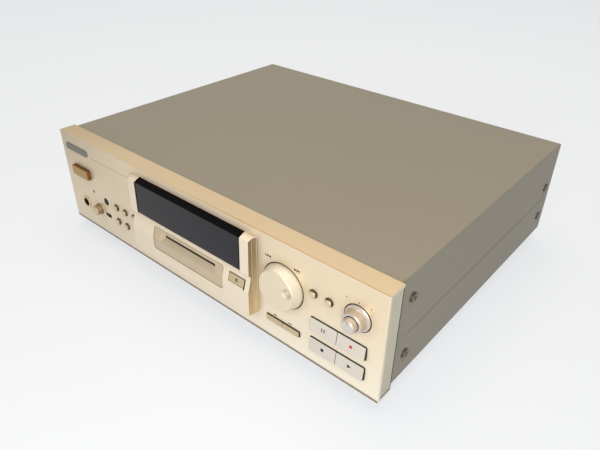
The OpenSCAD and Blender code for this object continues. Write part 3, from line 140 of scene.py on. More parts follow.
class Finish:
    """A material whose colour, roughness and relief vary over the surface.

    Its patterns are laid on the object's own coordinates, so they stay on a piece that moves.
    """

    def __init__(self, name, colour, rough, metal=0.0, **constants):
        self.material = bpy.data.materials.new(name)
        self.material.use_nodes = True
        self.tree = self.material.node_tree
        self.shader = next(n for n in self.tree.nodes if n.type == "BSDF_PRINCIPLED")
        self.shader.inputs["Base Color"].default_value = colour
        self.shader.inputs["Roughness"].default_value = rough
        self.shader.inputs["Metallic"].default_value = metal
        for socket, value in constants.items():
            self.shader.inputs[socket.replace("_", " ")].default_value = value
        self.colour = colour
        self.colour_from = None
        self.relief = None
        self.coordinates = self.node("ShaderNodeTexCoord").outputs["Object"]

    def node(self, kind, inputs=None, **settings):
        """Adds a shader node, and sets or links its inputs."""
        made = self.tree.nodes.new(kind)
        for name, value in settings.items():
            setattr(made, name, value)
        for name, value in (inputs or {}).items():
            self.feed(made.inputs[name], value)
        return made

    def feed(self, socket, value):
        """Links a socket to another one's output, or sets it to a constant."""
        if isinstance(value, bpy.types.NodeSocket):
            self.tree.links.new(value, socket)
        else:
            socket.default_value = value

    def along(self, axis):
        """The place along an axis of the deck."""
        return self.node("ShaderNodeSeparateXYZ", {"Vector": self.coordinates}).outputs[axis]

    def facing(self, axis):
        """How squarely the surface faces along an axis of the deck, from 0 to 1."""
        normal = self.node("ShaderNodeTexCoord").outputs["Normal"]
        part = self.node("ShaderNodeSeparateXYZ", {"Vector": normal}).outputs[axis]
        return self.node("ShaderNodeMath", {0: part}, operation="ABSOLUTE").outputs["Value"]

    def noise(self, size, stretch=EVEN, detail=3.0):
        """Noise whose features are about size metres across, drawn out along an axis by stretch."""
        scale = tuple(1 / (size * s) for s in stretch)
        place = self.node("ShaderNodeMapping", {"Vector": self.coordinates, "Scale": scale})
        return self.node(
            "ShaderNodeTexNoise",
            {"Vector": place.outputs["Vector"], "Scale": 1.0, "Detail": detail, "Roughness": 0.55},
        ).outputs["Fac"]

    def rings(self, centre):
        """Fine rings round an axis that runs along Y through centre."""
        place = self.node(
            "ShaderNodeMapping",
            {"Vector": self.coordinates, "Location": (-centre.x, 0, -centre.z), "Scale": SHELL_SCALE},
        )
        return self.node(
            "ShaderNodeTexWave",
            {"Vector": place.outputs["Vector"], "Scale": WAVE_PERIOD / RING_PITCH, "Distortion": 0.6,
             "Detail": 2.0},
            wave_type="RINGS",
            rings_direction="SPHERICAL",
        ).outputs["Fac"]

    def times(self, first, second):
        """The product of two varying shares."""
        return self.node("ShaderNodeMath", {0: first, 1: second}, operation="MULTIPLY").outputs["Value"]

    def ranged(self, value, low, high, to_low=0.0, to_high=1.0):
        """A varying value between low and high as one between to_low and to_high, held at both ends."""
        return self.node(
            "ShaderNodeMapRange",
            {"Value": value, "From Min": low, "From Max": high, "To Min": to_low, "To Max": to_high},
        ).outputs["Result"]

    def tint(self, share, colour):
        """Mixes another colour in by a share that varies over the surface."""
        mix = self.node("ShaderNodeMix", data_type="RGBA")
        factor, first, second = (
            next(s for s in mix.inputs if s.identifier == name)
            for name in ("Factor_Float", "A_Color", "B_Color")
        )
        self.feed(factor, share)
        self.feed(first, self.colour_from or self.colour)
        second.default_value = colour
        self.colour_from = next(s for s in mix.outputs if s.identifier == "Result_Color")
        self.feed(self.shader.inputs["Base Color"], self.colour_from)
        return self

    def patches(self, shade, size, detail=3.0, share=0.3):
        """A slightly uneven tone: another shade in soft patches of about size metres."""
        return self.tint(self.ranged(self.noise(size, detail=detail), 0.35, 0.7, 0.0, share), shade)

    def roughness(self, value, low, high):
        """Varies the roughness between two values."""
        self.feed(self.shader.inputs["Roughness"], self.ranged(value, NOISE_LOW, NOISE_HIGH, low, high))
        return self

    def bump(self, height, depth):
        """Adds relief, in metres, on top of what is there."""
        inputs = {"Height": height, "Distance": depth, "Strength": 1.0}
        if self.relief:
            inputs["Normal"] = self.relief
        self.relief = self.node("ShaderNodeBump", inputs).outputs["Normal"]
        self.feed(self.shader.inputs["Normal"], self.relief)
        return self

    def drawn_grain(self, shade, rough, stretch):
        """The fine lines of drawn metal, in its tone, gloss and relief."""
        grain = self.noise(GRAIN_SIZE, stretch, detail=2.0)
        self.tint(self.ranged(grain, 0.3, 0.8, 0.0, 0.22), shade)
        self.roughness(self.noise(GLOSS_SIZE, stretch), rough - 0.05, rough + 0.05)
        return self.bump(grain, GRAIN_DEPTH)

    def soft_edges(self, radius=EDGE_RADIUS):
        """Rounds sharp edges in the shading; called first, so that other relief lies on it."""
        soft = self.node("ShaderNodeBevel", {"Radius": radius}, samples=BEVEL_SAMPLES)
        self.relief = soft.outputs["Normal"]
        self.feed(self.shader.inputs["Normal"], self.relief)
        return self

    def worn_and_highlit_edges(self, colour, share=0.6):
        """Tints sharp edges: wear on the finish, and where the tint is pale, a painted highlight where the
        edge catches the light.
        """
        soft = self.node("ShaderNodeBevel", {"Radius": EDGE_TINT_RADIUS}, samples=BEVEL_SAMPLES)
        sharp = self.node("ShaderNodeNewGeometry")
        level = self.node(
            "ShaderNodeVectorMath",
            {0: soft.outputs["Normal"], 1: sharp.outputs["Normal"]},
            operation="DOT_PRODUCT",
        ).outputs["Value"]
        return self.tint(self.ranged(level, 0.99, 0.72, 0.0, share), colour)

    def painted_flank_light(self, colour, share=0.9):
        """Another tone on the sides of a cap, whose face looks forward: painted shade on buttons and knobs, a
        painted highlight on the jog dial.
        """
        return self.tint(self.ranged(self.facing("Y"), 0.9, 0.4, 0.0, share), colour)

    def corners(self, colour, reach, share):
        """Painted shade in inner corners: deepens the tone where a pale finish mostly reflects itself."""
        occlusion = self.node("ShaderNodeAmbientOcclusion", {"Distance": reach}, samples=CORNER_SAMPLES)
        return self.tint(self.ranged(occlusion.outputs["AO"], 1.0, 0.35, 0.0, share), colour)


def satin_metal(name, colour, shade, rough, metal, stretch=DRAWN, flank=None):
    """Anodised or plated metal with a fine grain, drawn out by stretch, and a slightly uneven tone; a flank
    colour is painted shade on a cap's sides.
    """
    made = Finish(name, colour, rough, metal).soft_edges()
    made.patches(shade, 0.07, detail=2.0)
    made.drawn_grain(shade, rough, stretch)
    # flank: painted shade on a cap's sides
    if flank:
        made.painted_flank_light(flank)
    return made.material


def front_panel():
    """Champagne anodising of the C-section.

    It is paler low on the right as a painted floor reflection, duller high on the left as painted shade, and
    deeper on its top and in inner corners as painted shade.
    """
    rough, shade = 0.38, rgb(222, 202, 170)
    # pale is a painted floor reflection, dull is painted shade, gold is painted shade on the top
    pale, dull, gold = rgb(255, 245, 224), rgb(150, 142, 124), rgb(206, 172, 118)
    made = Finish("champagne_anodised", rgb(234, 216, 186), rough, 0.45).soft_edges()
    made.patches(shade, 0.07, detail=2.0)
    made.drawn_grain(shade, rough, DRAWN)
    x, z = made.along("X"), made.along("Z")
    right = made.ranged(x, -0.15, 0.15, 0.2, 0.9)
    lower = made.ranged(z, PANEL_Z + 0.075, PANEL_Z)
    # painted floor reflection: paler low on the right
    made.tint(made.times(right, lower), pale)
    left = made.ranged(x, -0.1, -0.22, 0.0, 0.45)
    upper = made.ranged(z, PANEL_Z + 0.06, PANEL_Z + 0.112)
    # painted shade: duller high on the left
    made.tint(made.times(left, upper), dull)
    # edges: wear, and a painted highlight
    made.worn_and_highlit_edges(EDGE_WEAR_AND_HIGHLIGHT)
    # painted shade in inner corners
    made.corners(CORNER_SHADE_GOLD, 0.012, 0.7)
    # painted shade on the top, which faces up
    made.tint(made.ranged(made.facing("Z"), 0.5, 0.9, 0.0, 0.42), gold)
    return made.material


def moulded(name, colour, shade, rough, metal=0.0, edge=None, **constants):
    """Moulded or painted plastic with a fine grain."""
    made = Finish(name, colour, rough, metal, **constants).soft_edges()
    made.patches(shade, 0.02)
    made.roughness(made.noise(0.006), rough - 0.06, rough + 0.06)
    made.bump(made.noise(MOULD_GRAIN, detail=2.0), MOULD_DEPTH)
    if edge:
        # edges: wear, and where the tint is pale a painted highlight
        made.worn_and_highlit_edges(edge, share=0.4)
    return made.material


def block_paint():
    """Champagne paint of the centre block.

    It is deeper in corners as painted shade, and on the coved sides it is a dull dark gold of painted shade
    that pales toward the foot as painted floor light.
    """
    metal, rough = 0.4, 0.34
    side_metal, side_rough, side_share = 0.0, 0.65, 0.94
    # painted shade on the coved sides, and painted floor light toward their foot
    side_shade_gold, side_foot_light = rgb(124, 98, 56), rgb(202, 178, 134)
    made = Finish("block_paint", rgb(243, 227, 202), rough, metal).soft_edges(0.0009)
    made.patches(rgb(232, 215, 187), 0.02)
    # edges: wear, and a painted highlight
    made.worn_and_highlit_edges(EDGE_WEAR_AND_HIGHLIGHT, share=0.4)
    # painted shade in inner corners
    made.corners(CORNER_SHADE_GOLD, 0.01, 0.5)
    sideways = made.ranged(made.facing("X"), 0.06, 0.3, 0.0, side_share)
    # painted shade on the sides
    made.tint(sideways, side_shade_gold)
    lower = made.ranged(made.along("Z"), PANEL_Z + 0.085, PANEL_Z + 0.03, 0.0, 0.9)
    # painted floor light toward the foot of the sides
    made.tint(made.times(sideways, lower), side_foot_light)
    made.feed(made.shader.inputs["Metallic"], made.ranged(sideways, 0.0, side_share, metal, side_metal))
    made.feed(made.shader.inputs["Roughness"], made.ranged(sideways, 0.0, side_share, rough, side_rough))
    made.bump(made.noise(MOULD_GRAIN, detail=2.0), BLOCK_DEPTH)
    return made.material


def turned(name, colour, shade, rough, metal, node, dish, flank):
    """Metal turned on a lathe: rings round a knob's axis, painted shade in its dish and painted light on its
    flank.
    """
    made = Finish(name, colour, rough, metal).soft_edges()
    rings = made.rings(on_panel(*centre_of(node)))
    made.tint(made.ranged(rings, 0.2, 0.9, 0.0, 0.12), shade)
    # painted shade in the dish
    made.tint(made.ranged(made.facing("Y"), 0.998, 0.95, 0.0, 0.6), dish)
    # flank: painted light on the sides
    made.painted_flank_light(flank, 0.8)
    made.roughness(made.noise(0.002), rough - 0.03, rough + 0.03)
    made.bump(rings, RING_DEPTH)
    return made.material


def textured_paint(name, colour, shade, edge):
    """Fine-grained metallic paint on folded sheet steel."""
    rough, metal = 0.5, 0.25
    made = Finish(name, colour, rough, metal, Coat_Weight=0.12, Coat_Roughness=0.35).soft_edges(0.0004)
    made.patches(shade, 0.15, detail=2.0, share=0.2)
    speck = made.noise(0.00035, detail=2.0)
    made.tint(made.ranged(speck, 0.4, 0.75, 0.0, 0.3), shade)
    made.roughness(made.noise(0.004), rough - 0.04, rough + 0.04)
    made.bump(made.noise(0.0006), 0.000004)
    # edges: wear, and where the tint is pale a painted highlight
    made.worn_and_highlit_edges(edge, share=0.5)
    return made.material


def painted_top_edge_line():
    """The line along the panel's top edge: a painted highlight at the left end, and brown painted shade
    toward the right.
    """
    made = Finish("painted_top_edge_line", rgb(228, 208, 172), 0.35, 0.3)
    made.tint(made.ranged(made.along("X"), -0.06, 0.06), rgb(196, 132, 84))
    made.tint(made.ranged(made.noise(0.01), 0.3, 0.7, 0.0, 0.2), rgb(180, 140, 100))
    made.roughness(made.noise(0.002), 0.3, 0.42)
    return made.material


def board_material():
    """Circuit board laminate: an uneven solder mask that shows paler tracks."""
    made = Finish("circuit_board_laminate", rgb(96, 110, 52), 0.45, Coat_Weight=0.2)
    tracks = made.node(
        "ShaderNodeTexBrick",
        {"Vector": made.coordinates, "Scale": 160.0, "Mortar Size": 0.06,
         "Color1": (0, 0, 0, 1), "Mortar": (1, 1, 1, 1)},
    ).outputs["Fac"]
    made.tint(made.ranged(tracks, 0.0, 1.0, 0.0, 0.5), rgb(140, 150, 84))
    made.tint(made.ranged(made.noise(0.01), 0.3, 0.7, 0.0, 0.4), rgb(70, 84, 40))
    made.bump(tracks, 0.00003)
    made.roughness(made.noise(0.002), 0.38, 0.52)
    return made.material


def smoked_window():
    """Polished smoked acrylic with faint dust and fine hairs of wear."""
    made = Finish("smoked_acrylic", rgb(30, 28, 34), 0.1, Specular_IOR_Level=0.24).soft_edges(0.0002)
    made.patches(rgb(30, 29, 34), 0.03, share=0.6)
    made.roughness(made.noise(0.004, (8, 1, 1)), 0.07, 0.14)
    made.bump(made.noise(0.01), 0.000004)
    return made.material


# Each flank colour below is painted light on a cap's sides: dark painted shade on the buttons and knob, a
# pale painted highlight on the jog dial; each dish colour is painted shade in a turned face.
MATERIALS = {
    "front_aluminium": front_panel(),
    "end_cap_plastic": moulded("end_cap_plastic", rgb(212, 205, 182), rgb(198, 191, 168), 0.42),
    "zinc_steel": satin_metal("zinc_plated_steel", rgb(186, 188, 190), rgb(160, 164, 168), 0.38, 0.8,
                              (1, 6, 1)),
    "rear_paint": textured_paint("rear_panel_paint", rgb(146, 138, 120), rgb(134, 127, 110),
                                 rgb(176, 168, 150)),
    "cover_paint": textured_paint("cover_paint", rgb(149, 141, 124), rgb(139, 131, 114), rgb(206, 200, 184)),
    "foot_plastic": moulded("foot_rubber", rgb(34, 33, 32), rgb(26, 25, 25), 0.7),
    "screw_steel": satin_metal("screw_plating", rgb(120, 112, 96), rgb(84, 78, 68), 0.3, 0.85, EVEN),
    "block_plastic": block_paint(),
    "escutcheon_plastic": moulded("escutcheon_paint", rgb(207, 188, 158), rgb(195, 176, 146), 0.34, 0.4,
                                  edge=EDGE_WEAR_AND_HIGHLIGHT),
    "door_plastic": moulded("flap_plastic", rgb(36, 26, 16), rgb(28, 20, 12), 0.5),
    "smoked_window": smoked_window(),
    "badge_paint": moulded("badge_paint", rgb(124, 121, 108), rgb(104, 102, 90), 0.4, edge=rgb(84, 82, 74)),
    "gold_button": satin_metal("gold_satin", rgb(184, 148, 86), rgb(166, 130, 72), 0.34, 0.5,
                               flank=rgb(140, 90, 42)),
    "lens_plastic": moulded("frosted_lens", rgb(128, 130, 112), rgb(108, 110, 94), 0.35),
    "jack_brass": satin_metal("plated_brass", rgb(208, 176, 110), rgb(180, 148, 88), 0.25, 0.9, EVEN),
    "sensor_plastic": moulded("sensor_window", rgb(16, 11, 11), rgb(11, 8, 8), 0.3, Specular_IOR_Level=0.12),
    "switch_plastic": moulded("switch_plastic", rgb(44, 42, 38), rgb(34, 32, 30), 0.45),
    "champagne_button": satin_metal("champagne_satin", rgb(206, 184, 148), rgb(192, 170, 136), 0.38, 0.45,
                                    flank=rgb(92, 70, 44)),
    "silver_button": satin_metal("silver_satin", rgb(220, 212, 199), rgb(204, 196, 183), 0.46, 0.4,
                                 flank=rgb(34, 27, 20)),
    "jog_aluminium": turned("jog_aluminium", rgb(230, 215, 188), rgb(218, 203, 176), 0.5, 0.3, "jog_dial",
                            rgb(176, 156, 124), rgb(242, 236, 218)),
    "knob_metal": turned("knob_metal", rgb(212, 202, 194), rgb(194, 184, 176), 0.4, 0.6, "level_knob",
                         rgb(190, 176, 164), rgb(204, 186, 166)),
    "circuit_board": board_material(),
    "pot_metal": satin_metal("pot_plating", rgb(150, 152, 154), rgb(128, 130, 134), 0.35, 0.85, EVEN),
    "tube_glass": moulded("display_glass", rgb(38, 56, 56), rgb(28, 42, 44), 0.08),
    "component_plastic": moulded("component_sleeves", rgb(48, 52, 60), rgb(34, 36, 42), 0.4),
    "transformer_iron": satin_metal("varnished_core", rgb(116, 104, 90), rgb(92, 78, 62), 0.45, 0.5,
                                    (1, 30, 1)),
    "heat_sink_metal": satin_metal("black_anodised", rgb(42, 42, 45), rgb(30, 30, 33), 0.42, 0.6, (1, 1, 30)),
    "damper_rubber": moulded("damper_rubber", rgb(44, 44, 48), rgb(34, 34, 38), 0.65),
    "mechanism_steel": satin_metal("mechanism_steel", rgb(196, 198, 202), rgb(170, 174, 180), 0.32, 0.85,
                                   (1, 8, 1)),
    "rod_chrome": satin_metal("ground_steel", rgb(216, 218, 222), rgb(190, 194, 200), 0.16, 1.0, (8, 1, 1)),
    "gear_plastic": moulded("gear_nylon", rgb(236, 230, 214), rgb(222, 216, 200), 0.4),
    "sled_metal": satin_metal("sled_casting", rgb(92, 96, 102), rgb(74, 78, 84), 0.45, 0.7, EVEN),
    "socket_plastic": moulded("socket_plastic", rgb(30, 30, 32), rgb(22, 22, 24), 0.4),
}

# black for the window's top and ends: painted dark reflection and painted shade
BLACK_GLOSS = moulded("window_dark_reflection_black", rgb(7, 7, 9), rgb(5, 5, 6), 0.5, Specular_IOR_Level=0.05)
DARK_INK = moulded("dark_ink", rgb(24, 19, 14), rgb(18, 14, 11), 0.55, Specular_IOR_Level=0.2)
FAINT_INK = moulded("faint_ink", rgb(150, 138, 116), rgb(140, 128, 106), 0.55)
RED_INK = moulded("red_ink", rgb(190, 48, 40), rgb(168, 38, 32), 0.5)
# dark brown for painted shade in gaps and seams, and for the phones socket's bush
GAP_AND_SHADE_BROWN = moulded("gap_and_shade_brown", rgb(26, 20, 14), rgb(20, 15, 11), 0.6, Specular_IOR_Level=0.1)
# tan for the escutcheon's seam line, and for painted shade along the panel's foot
SEAM_AND_SHADE_TAN = moulded("seam_and_shade_tan", rgb(140, 122, 94), rgb(126, 108, 82), 0.5)
# painted shade in the cover's crease
CREASE_SHADE_BROWN = moulded("crease_shade_brown", rgb(134, 112, 84), rgb(120, 100, 74), 0.45)
# painted highlight on the panel's ends
EDGE_HIGHLIGHT = moulded("painted_edge_highlight", rgb(250, 240, 218), rgb(242, 230, 206), 0.3)
SHUTTER_GREY = moulded("shutter_grey", rgb(58, 58, 62), rgb(48, 48, 52), 0.45)
# painted highlight and shade along the panel's top edge
TOP_EDGE_HIGHLIGHT_AND_SHADE = painted_top_edge_line()
JACK_RING = satin_metal("jack_ring_champagne", rgb(226, 204, 158), rgb(206, 182, 134), 0.32, 0.5, EVEN)
PIN_NICKEL = satin_metal("pin_nickel", rgb(200, 198, 190), rgb(178, 176, 168), 0.22, 0.95, (1, 6, 1))
RED_INSERT = moulded("red_insert", rgb(176, 38, 34), rgb(150, 30, 28), 0.35)
WHITE_INSERT = moulded("white_insert", rgb(228, 226, 218), rgb(214, 212, 204), 0.35)
# flank: painted shade on the caps' sides
SMALL_CAPS = satin_metal("small_cap_champagne", rgb(222, 203, 170), rgb(206, 186, 152), 0.36, 0.5,
                         flank=rgb(96, 72, 44))
PHONES_CAP = satin_metal("phones_cap_champagne", rgb(218, 198, 164), rgb(202, 182, 148), 0.36, 0.5,
                         flank=rgb(158, 130, 94))

ROUND_BUTTONS = [node for node in NODES if node.startswith("round_button")]
OWN_FINISH = {
    "phones_jack": JACK_RING,
    "phones_knob": PHONES_CAP,
    **{node: SMALL_CAPS for node in ROUND_BUTTONS},
}

for part in frame["record"]["subparts"]:
    mesh = NODES[part["node"]].data
    mesh.materials.clear()
    mesh.materials.append(OWN_FINISH.get(part["node"], MATERIALS[part["material_slot"]]))


# ---- Outlines and pieces ----


def piece(name, vertices, faces, body, material):
    """A mesh piece that rides on a body."""
    mesh = bpy.data.meshes.new(name)
    mesh.from_pydata([tuple(v) for v in vertices], [], faces)
    shape = bmesh.new()
    shape.from_mesh(mesh)
    bmesh.ops.recalc_face_normals(shape, faces=shape.faces)
    shape.to_mesh(mesh)
    shape.free()
    mesh.materials.append(material)
    made = bpy.data.objects.new(name, mesh)
    bpy.context.scene.collection.objects.link(made)
    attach(made, body)


def ring_faces(rings, count, closed):
    """Faces between successive rings of points; closed also joins the last ring to the first."""
    return [
        [a * count + i, a * count + (i + 1) % count, b * count + (i + 1) % count, b * count + i]
        for a, b in zip(range(rings), [*range(1, rings), 0])
        if closed or b
        for i in range(count)
    ]


def slab_faces(start, count):
    """Faces of a closed slab between two outlines of count points, the first of which is the point start."""
    sides = ring_faces(2, count, closed=False)
    return [[start + i for i in face] for face in [*sides, range(count), range(2 * count - 1, count - 1, -1)]]


def depth_of(out):
    """A height above the panel as a function of the place, whether it is given as one or as a number."""
    return out if callable(out) else (lambda x, z: out)


def raised(name, outlines, out, body, material, slot, thick, sunk):
    """Flat shapes drawn in (x, z) that stand on a face; out is its height, or a function of x and z."""
    depth = depth_of(out)
    vertices, faces = [], []
    for outline in outlines:
        faces += slab_faces(len(vertices), len(outline))
        vertices += [on_panel(x, z, depth(x, z) + thick) for x, z in outline]
        vertices += [on_panel(x, z, depth(x, z) - sunk) for x, z in outline]
    piece(name, vertices, faces, body, material)


def band(name, inner, outer, front, back, body, material):
    """A ring between two outlines of as many points, from a back height out to a front height."""
    front, back = depth_of(front), depth_of(back)
    loops = [(outer, front), (inner, front), (inner, back), (outer, back)]
    vertices = [on_panel(x, z, depth(x, z)) for loop, depth in loops for x, z in loop]
    piece(name, vertices, ring_faces(4, len(inner), closed=True), body, material)


def lathed(name, centre, profile, body, material, sides=40):
    """A closed turned piece round an axis along Y; the profile holds (radius, y from the centre)."""
    vertices = [
        centre + Vector((r * math.cos(a), y, r * math.sin(a))) * MM
        for r, y in profile
        for a in (2 * math.pi * i / sides for i in range(sides))
    ]
    piece(name, vertices, ring_faces(len(profile), sides, closed=True), body, material)


def disc_outline(x, z, radius, sides=40):
    """The outline of a disc, as a polygon."""
    return [(x + radius * math.cos(2 * math.pi * i / sides), z + radius * math.sin(2 * math.pi * i / sides))
            for i in range(sides)]


def rectangle(x0, z0, x1, z1):
    """The outline of a rectangle between two corners."""
    return [(x0, z0), (x1, z0), (x1, z1), (x0, z1)]


def bar(x, z, width, height):
    """A rectangle round a place."""
    return rectangle(x - width / 2, z - height / 2, x + width / 2, z + height / 2)


def arrow(x, z, width, height):
    """A triangle that points right, or left if the width is negative."""
    return [(x - width / 2, z - height / 2), (x + width / 2, z), (x - width / 2, z + height / 2)]


def rounded(box, radius, grow):
    """The outline of a rounded rectangle, grown all round; the box is (x0, z0, x1, z1)."""
    steps = 5
    x0, z0, x1, z1 = box
    turn = radius + grow
    corners = [(x1 - radius, z1 - radius, 0), (x0 + radius, z1 - radius, 1),
               (x0 + radius, z0 + radius, 2), (x1 - radius, z0 + radius, 3)]
    return [(x + turn * math.cos(a), z + turn * math.sin(a))
            for x, z, quarter in corners
            for a in (math.pi / 2 * (quarter + i / steps) for i in range(steps + 1))]


def split_at(outline, level):
    """The outline with a point more wherever it crosses a height."""
    points = []
    for (xa, za), (xb, zb) in zip(outline, outline[1:] + outline[:1]):
        points.append((xa, za))
        if (za - level) * (zb - level) < 0:
            points.append((xa + (xb - xa) * (level - za) / (zb - za), level))
    return points


FRONT_MARGIN = 0.1
SAME_HEIGHT = 0.01


class Cap:
    """What a node shows in front of the panel: its box in (x, z), its radius and how far it stands out."""

    def __init__(self, node):
        points = [v.co for v in NODES[node].data.vertices if v.co.y < PANEL_Y - FRONT_MARGIN * MM]
        xs = [p.x / MM for p in points]
        zs = [(p.z - PANEL_Z) / MM for p in points]
        outs = [(PANEL_Y - p.y) / MM for p in points]
        self.box = (min(xs), min(zs), max(xs), max(zs))
        self.middle = ((min(xs) + max(xs)) / 2, (min(zs) + max(zs)) / 2)
        self.radius = (max(xs) - min(xs)) / 2
        self.low, self.top = (
            max(o for z, o in zip(zs, outs) if abs(z - edge) < SAME_HEIGHT) for edge in (min(zs), max(zs))
        )
        self.body = BODY_OF[node]

    def face(self, x, z):
        """How far a face that may lean stands out at a place."""
        z0, z1 = self.box[1], self.box[3]
        return self.low + (self.top - self.low) * (z - z0) / (z1 - z0)


# ---- The slot housing's face, which leans back from a height on ----

EJECT = Cap("eject_button")
EJECT_RECESS = 0.2
BLOCK_OUT = out_of("disc_slot_housing")
EJECT_LEAN = (EJECT.low - EJECT.top) / (EJECT.box[3] - EJECT.box[1])
LEAN_Z = EJECT.box[1] + (EJECT.low + EJECT_RECESS - BLOCK_OUT) / EJECT_LEAN


def slot_face(x, z):
    """How far the slot housing's face stands out: upright below, leaning back above."""
    return min(BLOCK_OUT, EJECT.face(x, z) + EJECT_RECESS)


# ---- Printed marks ----

INK = {"slot": "badge_paint", "thick": 0.05, "sunk": 0.1}
PAUSE_BAR, PAUSE_BAR_X = (1.0, 3.4), 1.2
RECORD_RADIUS = 1.5
STOP_SIDE = 2.9
PLAY_SIDE = 3.6
# Sizes of the arrows, and their places from the jog dial's middle, or above the search buttons' middle.
SKIP_SIZE, SKIP_UP, SKIP_LEFT, SKIP_RIGHT = 2.8, 23.5, 16.5, 14.7
SEARCH_SIZE, SEARCH_UP, SEARCH_LEFT, SEARCH_RIGHT = 1.9, 5.6, 9.8, 8.2
TICK, TICK_Z, TICKS_X = (0.55, 1.7), 91.2, (-11.5, 0, 11)
PANEL_RULE = (-130, 93.6, 70, 0.4)  # x, z, width and height


def transport_marks():
    """The usual symbols on the four transport buttons."""
    marks = {
        "pause_button": (lambda x, z: [bar(x + s * PAUSE_BAR_X, z, *PAUSE_BAR) for s in (-1, 1)], DARK_INK),
        "record_button": (lambda x, z: [disc_outline(x, z, RECORD_RADIUS)], RED_INK),
        "stop_button": (lambda x, z: [bar(x, z, STOP_SIDE, STOP_SIDE)], DARK_INK),
        "play_button": (lambda x, z: [arrow(x, z, PLAY_SIDE, PLAY_SIDE)], DARK_INK),
    }
    for node, (draw, ink) in marks.items():
        cap = Cap(node)
        raised(node.replace("_button", "_mark"), draw(*cap.middle), cap.face, cap.body, ink, **INK)


def eject_mark():
    """The eject symbol: a triangle over a bar."""
    x, z = EJECT.middle
    half, foot, bar_down, bar_high = 1.7, 0.3, 1.3, 0.8
    triangle = [(x - half, z - foot), (x + half, z - foot), (x, z + half)]
    raised("eject_symbol", [triangle, bar(x, z - bar_down, 2 * half, bar_high)],
           EJECT.face, EJECT.body, DARK_INK, **INK)


def double_arrow(x, z, direction, size, stop=False):
    """Two arrows side by side, with a bar at their tip for skip controls."""
    past_tip, bar_wide = 0.4, 0.6
    shapes = [arrow(x + (i - 0.5) * size, z, direction * size, size) for i in (0, 1)]
    if stop:
        shapes.append(bar(x + direction * (size + past_tip), z, bar_wide, size))
    return shapes


def panel_marks():
    """Symbols and ticks printed on the panel; its words are left off."""
    jog_x, jog_z = centre_of("jog_dial")
    search_z = centre_of("search_back_button")[1]
    level_x = centre_of("level_knob")[0]
    marks = {
        "skip_marks": double_arrow(jog_x - SKIP_LEFT, jog_z + SKIP_UP, -1, SKIP_SIZE, stop=True)
        + double_arrow(jog_x + SKIP_RIGHT, jog_z + SKIP_UP, 1, SKIP_SIZE, stop=True),
        "search_marks": double_arrow(jog_x - SEARCH_LEFT, search_z + SEARCH_UP, -1, SEARCH_SIZE)
        + double_arrow(jog_x + SEARCH_RIGHT, search_z + SEARCH_UP, 1, SEARCH_SIZE),
        "level_ticks": [bar(level_x + dx, TICK_Z, *TICK) for dx in TICKS_X],
    }
    for name, shapes in marks.items():
        raised(name, shapes, 0, "root", DARK_INK, **INK)
    raised("panel_rule", [bar(*PANEL_RULE)], 0, "root", FAINT_INK, **INK)


# ---- Painted shade in the gaps round the controls ----

BUTTON_GAP = 0.5
JOG_GAP = 0.5
LEVEL_GAP = 0.35
PHONES_GAP = 0.4
TIMER_SLOT, TIMER_INSIDE = (10.0, 4.0), 0.1
HOLE_CORNER = 0.5
CAP_CLEAR = 0.08
GAP_EDGE, WIDE_EDGE = 0.25, 0.5
LINER_FRONT, LINER_BACK = 0.02, -1.6
FINE_SIDES = 64


def gap_shade_band(name, inner, outer):
    """A dark band of painted shade in the gap round a control, with a narrow edge of painted shadow on the
    panel.
    """
    band(name + "_liner", inner, outer, LINER_FRONT, LINER_BACK, "root", GAP_AND_SHADE_BROWN)


def square_gap_shade(name, nodes):
    """The painted shade of one hole round the caps of some nodes."""
    boxes = [Cap(node).box for node in nodes]
    box = (*(min(b[i] for b in boxes) for i in (0, 1)), *(max(b[i] for b in boxes) for i in (2, 3)))
    gap_shade_band(name, *(rounded(box, HOLE_CORNER, grow) for grow in (CAP_CLEAR, BUTTON_GAP + GAP_EDGE)))


def round_gap_shade(node, gap, edge=GAP_EDGE):
    """The painted shade of a round hole round one node's cap."""
    radius = Cap(node).radius
    x, z = centre_of(node)
    gap_shade_band(node, *(disc_outline(x, z, radius + grow, FINE_SIDES) for grow in (CAP_CLEAR, gap + edge)))


def eject_gap_shade():
    """Painted shade: the dark gap that shows above and beside the eject button."""
    x0, z0, x1, z1 = EJECT.box
    above, beside, over = 0.9, 1.3, 0.1
    shapes = [rectangle(x0 - over, z1 + CAP_CLEAR, x1 + beside, z1 + above)]
    for low, high in ((z0 - over, LEAN_Z), (LEAN_Z, z1 + CAP_CLEAR)):
        shapes.append(rectangle(x1 + CAP_CLEAR, low, x1 + beside, high))
    raised("eject_gap_shade", shapes, slot_face, "root", GAP_AND_SHADE_BROWN, "switch_plastic", thick=0.12, sunk=2.5)


def gap_shades():
    """Painted shade in all the holes that controls come through."""
    square_gap_shade("power", ["power_button"])
    square_gap_shade("play_row", ["stop_button", "play_button"])
    square_gap_shade("pause_row", ["pause_button", "record_button"])
    square_gap_shade("search", ["search_back_button", "search_forward_button"])
    eject_gap_shade()
    for node in ROUND_BUTTONS:
        round_gap_shade(node, BUTTON_GAP)
    round_gap_shade("jog_dial", JOG_GAP, WIDE_EDGE)
    round_gap_shade("level_knob", LEVEL_GAP, WIDE_EDGE)
    round_gap_shade("phones_knob", PHONES_GAP)
    x, z = Cap("timer_switch").middle
    half_w, half_h = TIMER_SLOT[0] / 2, TIMER_SLOT[1] / 2
    box = (x - half_w, z - half_h, x + half_w, z + half_h)
    gap_shade_band("timer", *(rounded(box, HOLE_CORNER, grow) for grow in (-TIMER_INSIDE, GAP_EDGE)))


